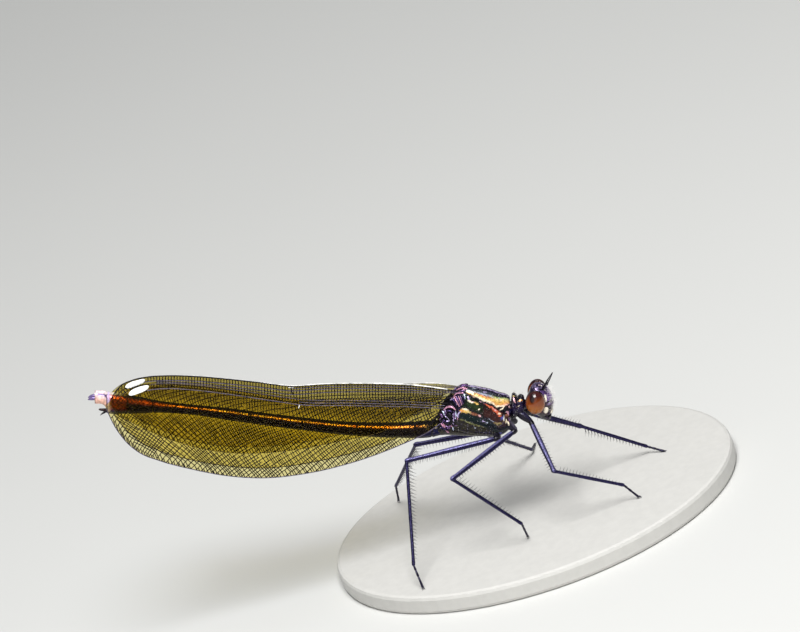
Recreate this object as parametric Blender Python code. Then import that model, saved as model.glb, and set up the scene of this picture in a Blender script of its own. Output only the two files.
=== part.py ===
"""A broad-winged damselfly at rest, life size, standing on the small oval base of a museum model.

The body is modelled in its own frame, in millimetres: X forward, Y to its left, Z up, with the origin in the middle
of the winged thorax. An empty then carries it, nose down, to where the legs hold it. The legs are worked out in the
model's frame, whose origin is the centre of the base's underside.
"""

import math

import bmesh
import bpy
import numpy as np
from mathutils import Matrix, Vector

MM = 0.001

# The stand and the stance
BASE_LENGTH = 42.0
BASE_WIDTH = 36.0
BASE_THICKNESS = 2.0
BASE_EDGE = 0.4
FOOT_GAP = 0.02
BODY_PITCH = math.radians(18.7)
BODY_ORIGIN = Vector((-0.5, -3.2, BASE_THICKNESS + 12.24))

# Gaps between pieces that meet, and how thick the thin parts are
JOINT_GAP = 0.03
CARVE_GAP = 0.05
WING_THICKNESS = 0.5
LEG_RADIUS = 0.25

# Stations along X: x, height of the centre, half height, half width
SYNTHORAX = (
    (2.05, -0.30, 1.20, 0.90),
    (1.90, -0.27, 1.81, 1.40),
    (1.00, -0.41, 2.33, 1.60),
    (0.00, -0.25, 2.54, 1.70),
    (-1.00, -0.14, 2.66, 1.70),
    (-2.00, -0.04, 2.76, 1.65),
    (-2.80, -0.03, 2.74, 1.50),
    (-3.50, -0.22, 2.56, 1.35),
    (-4.30, -0.62, 2.14, 1.15),
    (-5.00, -1.20, 1.55, 0.98),
    (-5.22, -1.60, 1.05, 0.85),
)
PROTHORAX = (
    (2.14, 0.45, 1.15, 0.95),
    (2.40, 0.50, 1.32, 1.12),
    (2.75, 0.42, 1.22, 1.10),
    (3.10, 0.48, 1.05, 0.92),
    (3.36, 0.60, 0.72, 0.66),
)
NECK = (
    (3.40, 0.68, 0.50, 0.48),
    (4.20, 0.75, 0.50, 0.48),
)

# Stations up the head: height, centre along X, half length, half width
HEAD = (
    (-0.28, 5.18, 1.06, 1.12),
    (0.20, 5.00, 1.33, 1.48),
    (1.00, 4.90, 1.44, 1.66),
    (1.80, 4.82, 1.32, 1.48),
    (2.30, 4.78, 1.02, 1.12),
    (2.62, 4.74, 0.62, 0.72),
    (2.75, 4.72, 0.30, 0.40),
)
MOUTHPARTS = (
    (-1.25, 5.72, 0.30, 0.36),
    (-1.05, 5.62, 0.52, 0.62),
    (-0.65, 5.42, 0.80, 0.90),
    (-0.31, 5.24, 0.98, 1.05),
)
EYE_CENTRE = (4.65, 1.48, 1.45)
EYE_RADII = (0.97, 0.90, 1.20)
ANTENNAE = {
    "right": ((5.05, -0.62, 1.90), (5.40, -0.76, 2.90), (5.82, -0.88, 3.80), (6.25, -1.00, 4.60)),
    "left": ((5.15, 0.70, 1.80), (5.60, 1.05, 2.40), (5.90, 1.65, 2.85), (6.10, 2.20, 3.20)),
}
# The head is turned a little to the right about its own middle
HEAD_MIDDLE = Vector((4.65, 0.0, 0.8))
HEAD_TURN = math.radians(-5.0)

# The abdomen's centre line, x and height, and its half height and half width along it
ABDOMEN_LINE = ((-4.3, -2.04), (-9.0, -2.19), (-14.0, -2.03), (-19.0, -1.48), (-24.0, -0.77), (-29.0, -0.05),
                (-34.0, 0.49), (-38.0, 0.88), (-39.5, 1.20))
ABDOMEN_HALF_HEIGHT = ((-5.2, 0.90), (-9.2, 0.84), (-15.0, 0.74), (-21.4, 0.70), (-26.0, 0.68), (-30.5, 0.58),
                       (-33.0, 0.66), (-35.0, 0.88), (-37.4, 1.08), (-38.3, 0.92), (-39.5, 0.62))
ABDOMEN_HALF_WIDTH = ((-5.2, 0.88), (-9.2, 0.80), (-15.0, 0.70), (-21.4, 0.66), (-26.0, 0.64), (-30.5, 0.56),
                      (-33.0, 0.62), (-35.0, 0.78), (-37.4, 0.88), (-38.3, 0.80), (-39.5, 0.58))
SEGMENT_ENDS = (-5.26, -5.80, -7.50, -13.30, -18.80, -24.00, -29.10, -33.70, -36.20, -38.30, -39.50)
SEGMENT_FLARE = 0.04
OVIPOSITOR = (
    (-36.30, -0.42, 0.18, 0.22),
    (-37.20, -0.45, 0.34, 0.27),
    (-38.10, -0.28, 0.36, 0.27),
    (-38.75, -0.18, 0.26, 0.22),
    (-39.20, -0.10, 0.12, 0.12),
)
CERCUS = ((-39.56, 0.30, 1.30), (-39.90, 0.30, 1.34), (-40.20, 0.26, 1.36))

# Wing edges: x and height. The upper one is the leading edge, as the wings are shut over the back.
FORE_UPPER = ((-3.0, 2.10), (-4.0, 2.20), (-6.1, 2.70), (-9.2, 2.88), (-12.2, 2.97), (-16.8, 2.90), (-19.8, 2.72),
              (-23.0, 3.10), (-26.1, 3.47), (-29.5, 3.78), (-32.4, 3.84), (-34.1, 3.72), (-35.8, 3.32),
              (-37.0, 2.70), (-37.6, 2.00), (-38.0, 1.40))
FORE_LOWER = ((-3.0, 1.60), (-4.0, 1.75), (-6.0, 0.53), (-9.0, -1.13), (-10.7, -1.90), (-15.3, -2.93),
              (-18.4, -3.48), (-23.0, -3.93), (-26.0, -3.93), (-29.5, -3.41), (-33.0, -2.27), (-36.0, -0.71),
              (-37.2, -0.04), (-38.0, 1.10))
HIND_UPPER = ((-4.2, 0.55), (-5.1, 0.55), (-9.0, 1.06), (-14.0, 1.32), (-19.1, 1.49), (-21.4, 1.85), (-26.0, 2.60),
              (-29.5, 3.07), (-32.5, 3.24), (-34.1, 3.10), (-35.5, 2.72), (-36.8, 2.30), (-37.8, 1.75),
              (-38.4, 1.05))
HIND_LOWER = ((-4.2, -0.10), (-5.1, -0.10), (-6.0, -1.30), (-7.5, -2.35), (-10.7, -4.15), (-15.3, -5.71),
              (-18.3, -6.42), (-22.2, -6.93), (-26.0, -6.76), (-30.1, -5.96), (-33.0, -5.08), (-35.3, -3.92),
              (-36.6, -2.62), (-37.7, -0.90), (-38.4, 0.75))
WING_COLUMNS = 20
WING_ROWS = 6
END_CROWDING = 0.75

# How far the wings stand from the middle: near each other over the back, and clear of the abdomen beside it
FORE_TOP_OFFSET = 0.31
HIND_STEP = 0.64
ROOT_OFFSET = 0.88
ABDOMEN_CLEARANCE = 0.33

# Leg roots and hips in the body's frame, for the left side: x, y, height
LEG_ROOTS = {"front": (2.85, 0.50, -0.05), "mid": (1.55, 0.75, -0.95), "hind": (0.30, 0.70, -1.70)}
HIPS = {"front": (4.06, 1.00, -0.80), "mid": (2.56, 1.10, -1.72), "hind": (0.90, 1.05, -2.60)}
LEG_LENGTHS = {"front": (6.4, 7.7, 2.1), "mid": (8.9, 8.45, 2.75), "hind": (9.55, 10.55, 2.55)}
COXA_RADII = {"front": (0.50, 0.34), "mid": (0.52, 0.34), "hind": (0.55, 0.36)}

# Each foot: where its tip stands, from below the body's origin, then the heading and pitch from the tip to the
# ankle, and how far the knee swings from straight up about the line from hip to ankle
FEET = {
    ("front", "right"): ((11.71, -4.03), -178.0, 58.0, 93.0),
    ("mid", "right"): ((-0.10, -5.32), -87.0, 56.0, 42.0),
    ("hind", "right"): ((-11.14, -9.89), 103.0, 60.0, 36.0),
    ("front", "left"): ((14.75, 4.89), 156.0, 20.0, -86.0),
    ("mid", "left"): ((1.02, 16.69), -96.0, 9.0, -70.0),
    ("hind", "left"): ((-13.76, 12.35), -68.0, 61.0, -41.0),
}
FOOT_TIP_HEIGHT = 0.12


def clear_scene():
    for obj in list(bpy.data.objects):
        bpy.data.objects.remove(obj, do_unlink=True)


def finish(name, colour, roughness, metallic=0.0):
    """A material with one colour."""
    material = bpy.data.materials.new(name)
    material.use_nodes = True
    shader = material.node_tree.nodes["Principled BSDF"]
    shader.inputs["Base Color"].default_value = (*colour, 1.0)
    shader.inputs["Roughness"].default_value = roughness
    shader.inputs["Metallic"].default_value = metallic
    material.diffuse_color = (*colour, 1.0)
    return material


def make_finishes():
    return {
        "thorax": finish("thorax_bronze", (0.16, 0.10, 0.04), 0.28, 0.8),
        "abdomen": finish("abdomen_metal", (0.06, 0.03, 0.07), 0.25, 0.8),
        "head": finish("head_dark", (0.06, 0.03, 0.08), 0.35, 0.4),
        "mouth": finish("mouth_cream", (0.65, 0.55, 0.38), 0.45),
        "eye": finish("eye_brown", (0.36, 0.10, 0.02), 0.12),
        "leg": finish("leg_blue_black", (0.03, 0.03, 0.10), 0.35, 0.3),
        "wing": finish("wing_amber", (0.22, 0.16, 0.05), 0.30),
        "stand": finish("stand_pale", (0.75, 0.74, 0.70), 0.55),
    }


def smooth_curve(points, x):
    """The value at x of a smooth curve through points that run from high x to low x."""
    xs = np.array([point[0] for point in points])
    ys = np.array([point[1] for point in points])
    slopes = np.gradient(ys, xs)
    x = min(max(x, xs[-1]), xs[0])
    place = min(max(int(np.searchsorted(-xs, -x)), 1), len(xs) - 1)
    start, end = xs[place - 1], xs[place]
    span = end - start
    t = (x - start) / span
    return float(
        ys[place - 1] * (1 + 2 * t) * (1 - t) ** 2
        + slopes[place - 1] * span * t * (1 - t) ** 2
        + ys[place] * t * t * (3 - 2 * t)
        - slopes[place] * span * t * t * (1 - t)
    )


def ease(value):
    """0 below 0, 1 above 1, and smooth between."""
    value = min(max(value, 0.0), 1.0)
    return value * value * (3 - 2 * value)


def add_object(name, bm, material, parent=None):
    """The bmesh as a named object, round pieces shaded smooth."""
    bmesh.ops.recalc_face_normals(bm, faces=bm.faces)
    mesh = bpy.data.meshes.new(name)
    bm.to_mesh(mesh)
    bm.free()
    if material:
        mesh.materials.append(material)
    mesh.shade_smooth()
    mesh.set_sharp_from_angle(angle=math.radians(50))
    obj = bpy.data.objects.new(name, mesh)
    bpy.context.scene.collection.objects.link(obj)
    obj.parent = parent
    return obj


def skin_rings(places, sides):
    """A closed bmesh over a row of rings. Each place carries a unit circle, in millimetres, to its ring."""
    bm = bmesh.new()
    loops = []
    for place in places:
        matrix = Matrix.Scale(MM, 4) @ place
        verts = bmesh.ops.create_circle(bm, segments=sides, radius=1.0, matrix=matrix)["verts"]
        loops.append(list({edge for vert in verts for edge in vert.link_edges}))
    for near, far in zip(loops, loops[1:]):
        bmesh.ops.bridge_loops(bm, edges=near + far)
    bmesh.ops.holes_fill(bm, edges=bm.edges, sides=0)
    return bm


def rings_along_x(stations, grow=0.0):
    """Upright oval rings from stations of x, height, half height and half width."""
    turn = Matrix(((0, 0, 1), (1, 0, 0), (0, 1, 0))).to_4x4()
    return [
        Matrix.Translation((x, 0, z)) @ turn @ Matrix.Diagonal((width + grow, height + grow, 1, 1))
        for x, z, height, width in stations
    ]


def rings_up(stations, grow=0.0):
    """Level oval rings from stations of height, centre along X, half length and half width."""
    return [
        Matrix.Translation((x, 0, z)) @ Matrix.Diagonal((length + grow, width + grow, 1, 1))
        for z, x, length, width in stations
    ]


def lengthened(stations, grow):
    """The stations with both ends moved out by grow."""
    first, last = stations[0], stations[-1]
    way = math.copysign(grow, last[0] - first[0])
    return ((first[0] - way, *first[1:]), *stations[1:-1], (last[0] + way, *last[1:]))


def rings_along_path(points, radii):
    """Round rings along a path, each square to the path where it stands."""
    points = [Vector(point) for point in points]
    places = []
    for index, (point, radius) in enumerate(zip(points, radii)):
        ahead = points[min(index + 1, len(points) - 1)]
        behind = points[max(index - 1, 0)]
        turn = (ahead - behind).to_track_quat("Z", "Y").to_matrix().to_4x4()
        places.append(Matrix.Translation(point) @ turn @ Matrix.Diagonal((radius, radius, 1, 1)))
    return places


def cutter(name, bm, parent):
    """A hidden helper that carves room for the piece that it copies."""
    obj = add_object(name, bm, None, parent)
    obj.hide_render = True
    obj.display_type = "WIRE"
    return obj


def carve(obj, tool):
    modifier = obj.modifiers.new("room_for_" + tool.name, "BOOLEAN")
    modifier.operation = "DIFFERENCE"
    modifier.object = tool


def mirrored(point, side):
    x, y, z = point
    return Vector((x, y if side == "left" else -y, z))


def make_pose():
    """The empty that holds the body in its stance."""
    pose = bpy.data.objects.new("body_pose", None)
    pose.location = BODY_ORIGIN * MM
    pose.rotation_euler = (0, BODY_PITCH, 0)
    bpy.context.scene.collection.objects.link(pose)
    return pose


def make_head_pose(pose):
    """The empty that turns the head. Its pieces are still modelled in the body's frame."""
    turned = bpy.data.objects.new("head_pose", None)
    middle = Matrix.Translation(HEAD_MIDDLE * MM)
    turned.matrix_basis = middle @ Matrix.Rotation(HEAD_TURN, 4, "Z") @ middle.inverted()
    turned.parent = pose
    bpy.context.scene.collection.objects.link(turned)
    return turned


def pose_matrix():
    """From the body's frame to the model's frame, in millimetres."""
    return Matrix.Translation(BODY_ORIGIN) @ Matrix.Rotation(BODY_PITCH, 4, "Y")


def make_stand(finishes):
    bm = bmesh.new()
    half = Matrix.Diagonal((BASE_LENGTH / 2 * MM, BASE_WIDTH / 2 * MM, 1, 1))
    bmesh.ops.create_circle(bm, cap_ends=True, segments=72, radius=1.0, matrix=half)
    raised = bmesh.ops.extrude_face_region(bm, geom=bm.faces[:])["geom"]
    top = [item for item in raised if isinstance(item, bmesh.types.BMVert)]
    bmesh.ops.translate(bm, verts=top, vec=(0, 0, BASE_THICKNESS * MM))
    rim = [edge for edge in bm.edges if abs(edge.verts[0].co.z - edge.verts[1].co.z) < MM * 0.1]
    bmesh.ops.bevel(bm, geom=rim, offset=BASE_EDGE * MM, affect="EDGES", segments=2, profile=0.5, material=-1)
    add_object("stand_base", bm, finishes["stand"])


def make_trunk(pose, head_pose, finishes):
    """The thorax in its two parts and the neck. It returns the cutters for what joins them."""
    add_object("synthorax", skin_rings(rings_along_x(SYNTHORAX), 28), finishes["thorax"], pose)
    add_object("prothorax", skin_rings(rings_along_x(PROTHORAX), 24), finishes["thorax"], pose)
    neck = add_object("neck", skin_rings(rings_along_x(NECK), 16), finishes["head"], pose)
    grown = rings_along_x(lengthened(SYNTHORAX, CARVE_GAP), CARVE_GAP)
    synthorax_tool = cutter("synthorax_room", skin_rings(grown, 28), pose)
    grown = rings_along_x(lengthened(PROTHORAX, CARVE_GAP), CARVE_GAP)
    prothorax_tool = cutter("prothorax_room", skin_rings(grown, 24), pose)
    grown = rings_up(lengthened(HEAD, CARVE_GAP), CARVE_GAP)
    head_tool = cutter("head_room", skin_rings(grown, 28), head_pose)
    carve(neck, head_tool)
    return synthorax_tool, prothorax_tool, head_tool


def eye_ball(side, grow=0.0):
    bm = bmesh.new()
    radii = [(radius + grow) * MM for radius in EYE_RADII]
    place = Matrix.Translation(mirrored(EYE_CENTRE, side) * MM) @ Matrix.Diagonal((*radii, 1))
    bmesh.ops.create_uvsphere(bm, u_segments=18, v_segments=12, radius=1.0, matrix=place)
    return bm


def make_head(pose, finishes, head_tool):
    head = add_object("head", skin_rings(rings_up(HEAD), 28), finishes["head"], pose)
    add_object("mouthparts", skin_rings(rings_up(MOUTHPARTS), 24), finishes["mouth"], pose)
    for side in ("left", "right"):
        add_object("eye_" + side, eye_ball(side), finishes["eye"], pose)
        eye_tool = cutter("eye_room_" + side, eye_ball(side, JOINT_GAP), pose)
        carve(head, eye_tool)
        feeler = skin_rings(rings_along_path(ANTENNAE[side], (0.30, 0.27, 0.25, 0.25)), 10)
        antenna = add_object("antenna_" + side, feeler, finishes["head"], pose)
        carve(antenna, head_tool)
        carve(antenna, eye_tool)


def abdomen_station(x, flare=0.0):
    return (
        x,
        smooth_curve(ABDOMEN_LINE, x),
        smooth_curve(ABDOMEN_HALF_HEIGHT, x) + flare,
        smooth_curve(ABDOMEN_HALF_WIDTH, x) + flare,
    )


def segment_stations(front, rear):
    """Rings of one segment, a little wider at its ends, as the real ones are at their joints."""
    front -= JOINT_GAP / 2
    rear += JOINT_GAP / 2
    middles = max(1, round((front - rear) / 2.0))
    inner = [front + (rear - front) * (index + 1) / (middles + 1) for index in range(middles)]
    return (
        abdomen_station(front, SEGMENT_FLARE),
        *[abdomen_station(x) for x in inner],
        abdomen_station(rear, SEGMENT_FLARE),
    )


def make_abdomen(pose, finishes):
    for number, (front, rear) in enumerate(zip(SEGMENT_ENDS, SEGMENT_ENDS[1:]), start=1):
        rings = rings_along_x(segment_stations(front, rear))
        add_object(f"abdomen_{number}", skin_rings(rings, 16), finishes["abdomen"], pose)
    blade = add_object("ovipositor", skin_rings(rings_along_x(OVIPOSITOR), 12), finishes["abdomen"], pose)
    for number in (8, 9, 10):
        stations = segment_stations(SEGMENT_ENDS[number - 1], SEGMENT_ENDS[number])
        grown = skin_rings(rings_along_x(lengthened(stations, CARVE_GAP), CARVE_GAP), 16)
        carve(blade, cutter(f"abdomen_room_{number}", grown, pose))
    for side in ("left", "right"):
        path = [mirrored(point, side) for point in CERCUS]
        spike = skin_rings(rings_along_path(path, (0.26, 0.22, 0.10)), 10)
        add_object("cercus_" + side, spike, finishes["abdomen"], pose)


def fore_offset(x, z):
    """How far from the middle a forewing's sheet stands at this place."""
    beside = smooth_curve(ABDOMEN_HALF_WIDTH, x) + ABDOMEN_CLEARANCE
    above = z - smooth_curve(ABDOMEN_LINE, x)
    top = FORE_TOP_OFFSET + (ROOT_OFFSET - FORE_TOP_OFFSET) * ease((x + 9.5) / 5.0)
    return top + (max(beside, top) - top) * ease((2.8 - above) / 2.4)


def hind_offset(x, z):
    """The hindwing lies outside the forewing, and draws in below the forewing's lower edge."""
    step = HIND_STEP * ease((-4.5 - x) / 1.5)
    below = smooth_curve(FORE_LOWER, x) - 0.3 - z
    return fore_offset(x, z) + step - 0.45 * ease(below / 2.5)


def make_wing(name, side, upper, lower, offset, pose, material):
    """A sheet between the two edges, thickened both ways. Its columns crowd towards the root and the round tip."""
    bm = bmesh.new()
    bmesh.ops.create_grid(bm, x_segments=WING_COLUMNS, y_segments=WING_ROWS, size=0.5)
    root, tip = upper[0][0], upper[-1][0]
    for vert in bm.verts:
        even = vert.co.x + 0.5
        along = even + END_CROWDING * ((1 - math.cos(even * math.pi)) / 2 - even)
        across = vert.co.y + 0.5
        x = root + (tip - root) * along
        top = smooth_curve(upper, x)
        bottom = smooth_curve(lower, x)
        z = top + (bottom - top) * across
        vert.co = mirrored((x, offset(x, z), z), side) * MM
    wing = add_object(name, bm, material, pose)
    sheet = wing.modifiers.new("thickness", "SOLIDIFY")
    sheet.thickness = WING_THICKNESS * MM
    sheet.offset = 0.0
    return wing


def make_wings(pose, finishes, synthorax_tool):
    for side in ("left", "right"):
        fore = make_wing("wing_fore_" + side, side, FORE_UPPER, FORE_LOWER, fore_offset, pose, finishes["wing"])
        hind = make_wing("wing_hind_" + side, side, HIND_UPPER, HIND_LOWER, hind_offset, pose, finishes["wing"])
        carve(fore, synthorax_tool)
        carve(hind, synthorax_tool)


def direction(heading, pitch):
    heading, pitch = math.radians(heading), math.radians(pitch)
    level = math.cos(pitch)
    return Vector((level * math.cos(heading), level * math.sin(heading), math.sin(pitch)))


def knee_place(hip, ankle, femur, tibia, swing):
    """Where two bones of these lengths meet, swung about the line from hip to ankle."""
    line = ankle - hip
    reach = line.length
    axis = line / reach
    along = (femur**2 - tibia**2 + reach**2) / (2 * reach)
    out = math.sqrt(max(femur**2 - along**2, 0.0))
    up = Vector((0, 0, 1))
    up = (up - axis * up.dot(axis)).normalized()
    side = axis.cross(up)
    angle = math.radians(swing)
    return hip + axis * along + (up * math.cos(angle) + side * math.sin(angle)) * out


def leg_joints(pair, side):
    """Hip, knee, ankle and tip of one leg, in the model's frame."""
    spot, heading, pitch, swing = FEET[pair, side]
    femur, tibia, tarsus = LEG_LENGTHS[pair]
    hip = pose_matrix() @ mirrored(HIPS[pair], side)
    tip = Vector((BODY_ORIGIN.x + spot[0], BODY_ORIGIN.y + spot[1], BASE_THICKNESS + FOOT_TIP_HEIGHT))
    ankle = tip + direction(heading, pitch) * tarsus
    return hip, knee_place(hip, ankle, femur, tibia, swing), ankle, tip


def limb(start, end, first_gap, radii, knob):
    """A round bone from start to end, beginning first_gap past the joint and ending in a knob round the next one."""
    way = (end - start).normalized()
    length = (end - start).length
    first, middle, last = radii
    stations = [(first_gap, first * 0.85), (first_gap + 0.15, first), (length * 0.5, middle), (length - 0.55, last)]
    stations += [(length + knob * math.sin(turn), knob * math.cos(turn)) for turn in (-0.7, 0.1, 0.9)]
    points = [start + way * distance for distance, _ in stations]
    return skin_rings(rings_along_path(points, [radius for _, radius in stations]), 8)


def clear_start(joint, back, ahead, back_radius, radius, knob):
    """How far past a joint a bone may begin without touching the bone behind it."""
    bend = (back - joint).angle(ahead - joint)
    past_knob = knob + JOINT_GAP
    if bend > math.pi / 2:
        return past_knob
    return max(past_knob, (back_radius + JOINT_GAP + radius * math.cos(bend)) / math.sin(bend))


def make_leg(pair, side, finishes, body_tool):
    hip, knee, ankle, tip = leg_joints(pair, side)
    name = f"{pair}_{side}_"
    root = pose_matrix() @ mirrored(LEG_ROOTS[pair], side)
    broad, narrow = COXA_RADII[pair]
    coxa = add_object(name + "coxa", limb(root, hip, 0.0, (broad, broad, narrow), narrow), finishes["leg"])
    carve(coxa, body_tool)
    femur_knob, tibia_knob = 0.31, 0.26
    start = narrow + JOINT_GAP
    femur = limb(hip, knee, start, (0.29, 0.30, 0.27), femur_knob)
    add_object(name + "femur", femur, finishes["leg"])
    start = clear_start(knee, hip, ankle, 0.30, LEG_RADIUS, femur_knob)
    tibia = limb(knee, ankle, start, (LEG_RADIUS,) * 3, tibia_knob)
    add_object(name + "tibia", tibia, finishes["leg"])
    make_foot(name + "tarsus", knee, ankle, tip, tibia_knob, finishes["leg"])


def make_foot(name, knee, ankle, tip, knob, material):
    """The tarsus, cut level where it stands."""
    way = (tip - ankle).normalized()
    start = clear_start(ankle, knee, tip, LEG_RADIUS, LEG_RADIUS, knob)
    sole = BASE_THICKNESS + FOOT_GAP
    points = [ankle + way * start, ankle + way * (start + 0.6), tip - way * 0.5, tip + way * 0.15]
    bm = skin_rings(rings_along_path(points, (0.24, LEG_RADIUS, LEG_RADIUS, LEG_RADIUS)), 8)
    parts = bm.verts[:] + bm.edges[:] + bm.faces[:]
    level = (0, 0, sole * MM)
    bmesh.ops.bisect_plane(bm, geom=parts, dist=1e-8, plane_co=level, plane_no=(0, 0, -1), clear_outer=True)
    bmesh.ops.holes_fill(bm, edges=[edge for edge in bm.edges if edge.is_boundary], sides=0)
    add_object(name, bm, material)


def main():
    clear_scene()
    finishes = make_finishes()
    pose = make_pose()
    make_stand(finishes)
    head_pose = make_head_pose(pose)
    synthorax_tool, prothorax_tool, head_tool = make_trunk(pose, head_pose, finishes)
    make_head(head_pose, finishes, head_tool)
    make_abdomen(pose, finishes)
    make_wings(pose, finishes, synthorax_tool)
    for pair, side in FEET:
        make_leg(pair, side, finishes, prothorax_tool if pair == "front" else synthorax_tool)


main()
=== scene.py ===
"""The looks of a life-size broad-winged damselfly, standing on the oval base of a museum model.

The insect is modelled in its own frame, in millimetres: X towards the head, Y to its left, Z up, with the
origin in the middle of the thorax. POSE then carries it to where its legs hold it. Places round the body are
given by X and by the angle from the top of the back, in degrees, alike on both sides.
"""

import math
import random

import bmesh
import bpy
import numpy as np
from bpy.props import FloatProperty, FloatVectorProperty, PointerProperty
from mathutils import Matrix, Quaternion, Vector, noise


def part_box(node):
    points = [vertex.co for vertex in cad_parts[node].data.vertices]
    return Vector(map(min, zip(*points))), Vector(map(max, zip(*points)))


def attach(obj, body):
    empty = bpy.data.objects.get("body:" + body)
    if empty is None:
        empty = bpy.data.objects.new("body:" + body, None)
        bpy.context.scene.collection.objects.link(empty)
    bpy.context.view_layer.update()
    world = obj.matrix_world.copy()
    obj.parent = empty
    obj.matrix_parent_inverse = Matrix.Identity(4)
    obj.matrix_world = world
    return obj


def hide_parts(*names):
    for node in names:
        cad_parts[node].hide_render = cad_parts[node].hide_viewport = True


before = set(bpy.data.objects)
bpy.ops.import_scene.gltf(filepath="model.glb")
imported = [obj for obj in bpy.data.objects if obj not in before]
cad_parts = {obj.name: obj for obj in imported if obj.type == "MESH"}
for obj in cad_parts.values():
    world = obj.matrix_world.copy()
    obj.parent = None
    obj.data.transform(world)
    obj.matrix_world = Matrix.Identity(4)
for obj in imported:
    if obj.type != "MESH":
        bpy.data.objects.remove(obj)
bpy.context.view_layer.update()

bl_info = {
    "name": "Museum Damselfly",
    "version": (1, 0, 0),
    "blender": (4, 5, 0),
    "location": "3D View > Sidebar > Damselfly",
    "description": "Builds a broad-winged damselfly at rest, from its wing veins to the hairs on its face",
    "category": "Add Mesh",
}

MM = 0.001
DEGREE = math.pi / 180
BASE_LOW, BASE_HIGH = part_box("stand_base")
BASE_TOP = BASE_HIGH.z / MM
SIDES = {"left": 1, "right": -1}

# The stance, as the CAD model has it
BODY_PITCH = math.radians(18.7)
BODY_ORIGIN = Vector((-0.5, -3.2, BASE_TOP + 12.24))
HEAD_MIDDLE = Vector((4.65, 0.0, 0.8))
HEAD_TURN = math.radians(-5.0)
POSE = Matrix.Translation(BODY_ORIGIN) @ Matrix.Rotation(BODY_PITCH, 4, "Y")
HEAD_POSE = (
    POSE @ Matrix.Translation(HEAD_MIDDLE)
    @ Matrix.Rotation(HEAD_TURN, 4, "Z") @ Matrix.Translation(-HEAD_MIDDLE)
)

# Stations along X: x, height of the centre, half height, half width
THORAX = (
    (4.25, 0.75, 0.0, 0.0),
    (4.20, 0.75, 0.40, 0.38),
    (3.70, 0.68, 0.42, 0.42),
    (3.48, 0.62, 0.52, 0.50),
    (3.42, 0.58, 0.80, 0.70),
    (3.30, 0.54, 1.08, 0.88),
    (3.08, 0.50, 1.19, 0.96),
    (2.88, 0.46, 1.14, 0.98),
    (2.74, 0.44, 1.06, 0.98),
    (2.62, 0.46, 1.18, 1.05),
    (2.50, 0.48, 1.31, 1.10),
    (2.36, 0.50, 1.36, 1.10),
    (2.24, 0.50, 1.30, 1.05),
    (2.15, 0.46, 1.06, 0.90),
    (2.10, 0.10, 0.96, 0.80),
    (2.04, -0.28, 1.18, 0.90),
    (1.93, -0.28, 1.72, 1.32),
    (1.60, -0.33, 2.04, 1.48),
    (1.00, -0.41, 2.30, 1.58),
    (0.00, -0.25, 2.52, 1.68),
    (-1.00, -0.14, 2.64, 1.68),
    (-2.00, -0.04, 2.73, 1.62),
    (-2.80, -0.05, 2.68, 1.48),
    (-3.50, -0.24, 2.46, 1.33),
    (-4.30, -0.64, 2.04, 1.13),
    (-5.00, -1.22, 1.48, 0.96),
    (-5.22, -1.62, 0.98, 0.82),
    (-5.30, -1.80, 0.50, 0.45),
    (-5.32, -1.90, 0.0, 0.0),
)
NECK_END = 2.10

# The seams of the thorax: x and the angle from the top of the back
SHOULDER_SEAM = ((-3.4, 27), (-2.3, 37), (-1.2, 47), (-0.1, 54), (0.9, 60), (1.5, 66), (2.0, 76))
MIDDLE_SEAM = ((-3.7, 60), (-2.7, 68), (-2.0, 74), (-0.9, 83), (-0.1, 92), (0.4, 101), (1.0, 116))
REAR_SEAM = ((-4.6, 84), (-2.9, 97), (-2.3, 102), (-0.8, 112), (-0.1, 121), (0.6, 134))
BELLY_SEAM = ((-4.8, 118), (-3.0, 134), (-1.5, 146), (0.0, 156), (1.2, 162))

# The abdomen's centre line, half height and half width along X, and where its ten segments meet
ABDOMEN_LINE = (
    (-4.3, -1.82), (-6.5, -2.10), (-9.0, -2.19), (-14.0, -2.03), (-19.0, -1.48), (-24.0, -0.77),
    (-29.0, -0.05), (-34.0, 0.46), (-36.0, 0.64), (-37.4, 0.80), (-38.15, 0.92), (-38.45, 1.24),
    (-39.5, 1.44),
)
ABDOMEN_HALF_HEIGHT = (
    (-4.4, 0.72), (-5.4, 0.86), (-9.2, 0.82), (-15.0, 0.72), (-21.4, 0.68), (-26.0, 0.66), (-30.5, 0.56),
    (-33.0, 0.64), (-35.0, 0.90), (-37.4, 1.12), (-38.15, 1.08), (-38.45, 0.84), (-39.5, 0.70),
)
ABDOMEN_HALF_WIDTH = (
    (-4.4, 0.70), (-5.4, 0.84), (-9.2, 0.78), (-15.0, 0.68), (-21.4, 0.64), (-26.0, 0.62), (-30.5, 0.54),
    (-33.0, 0.60), (-35.0, 0.76), (-37.4, 0.86), (-38.3, 0.78), (-39.5, 0.57),
)
SEGMENT_ENDS = (-5.80, -7.50, -13.30, -18.80, -24.00, -29.10, -33.70, -36.20, -38.30)
ABDOMEN_ENDS = (-4.40, -39.50)
# Stations along the ovipositor, in the form of THORAX
OVIPOSITOR = (
    (-36.55, -0.14, 0.0, 0.0),
    (-36.65, -0.16, 0.16, 0.20),
    (-37.30, -0.20, 0.26, 0.25),
    (-38.10, -0.10, 0.26, 0.23),
    (-38.75, 0.02, 0.14, 0.16),
    (-39.10, 0.06, 0.07, 0.08),
    (-39.15, 0.06, 0.0, 0.0),
)

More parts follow.
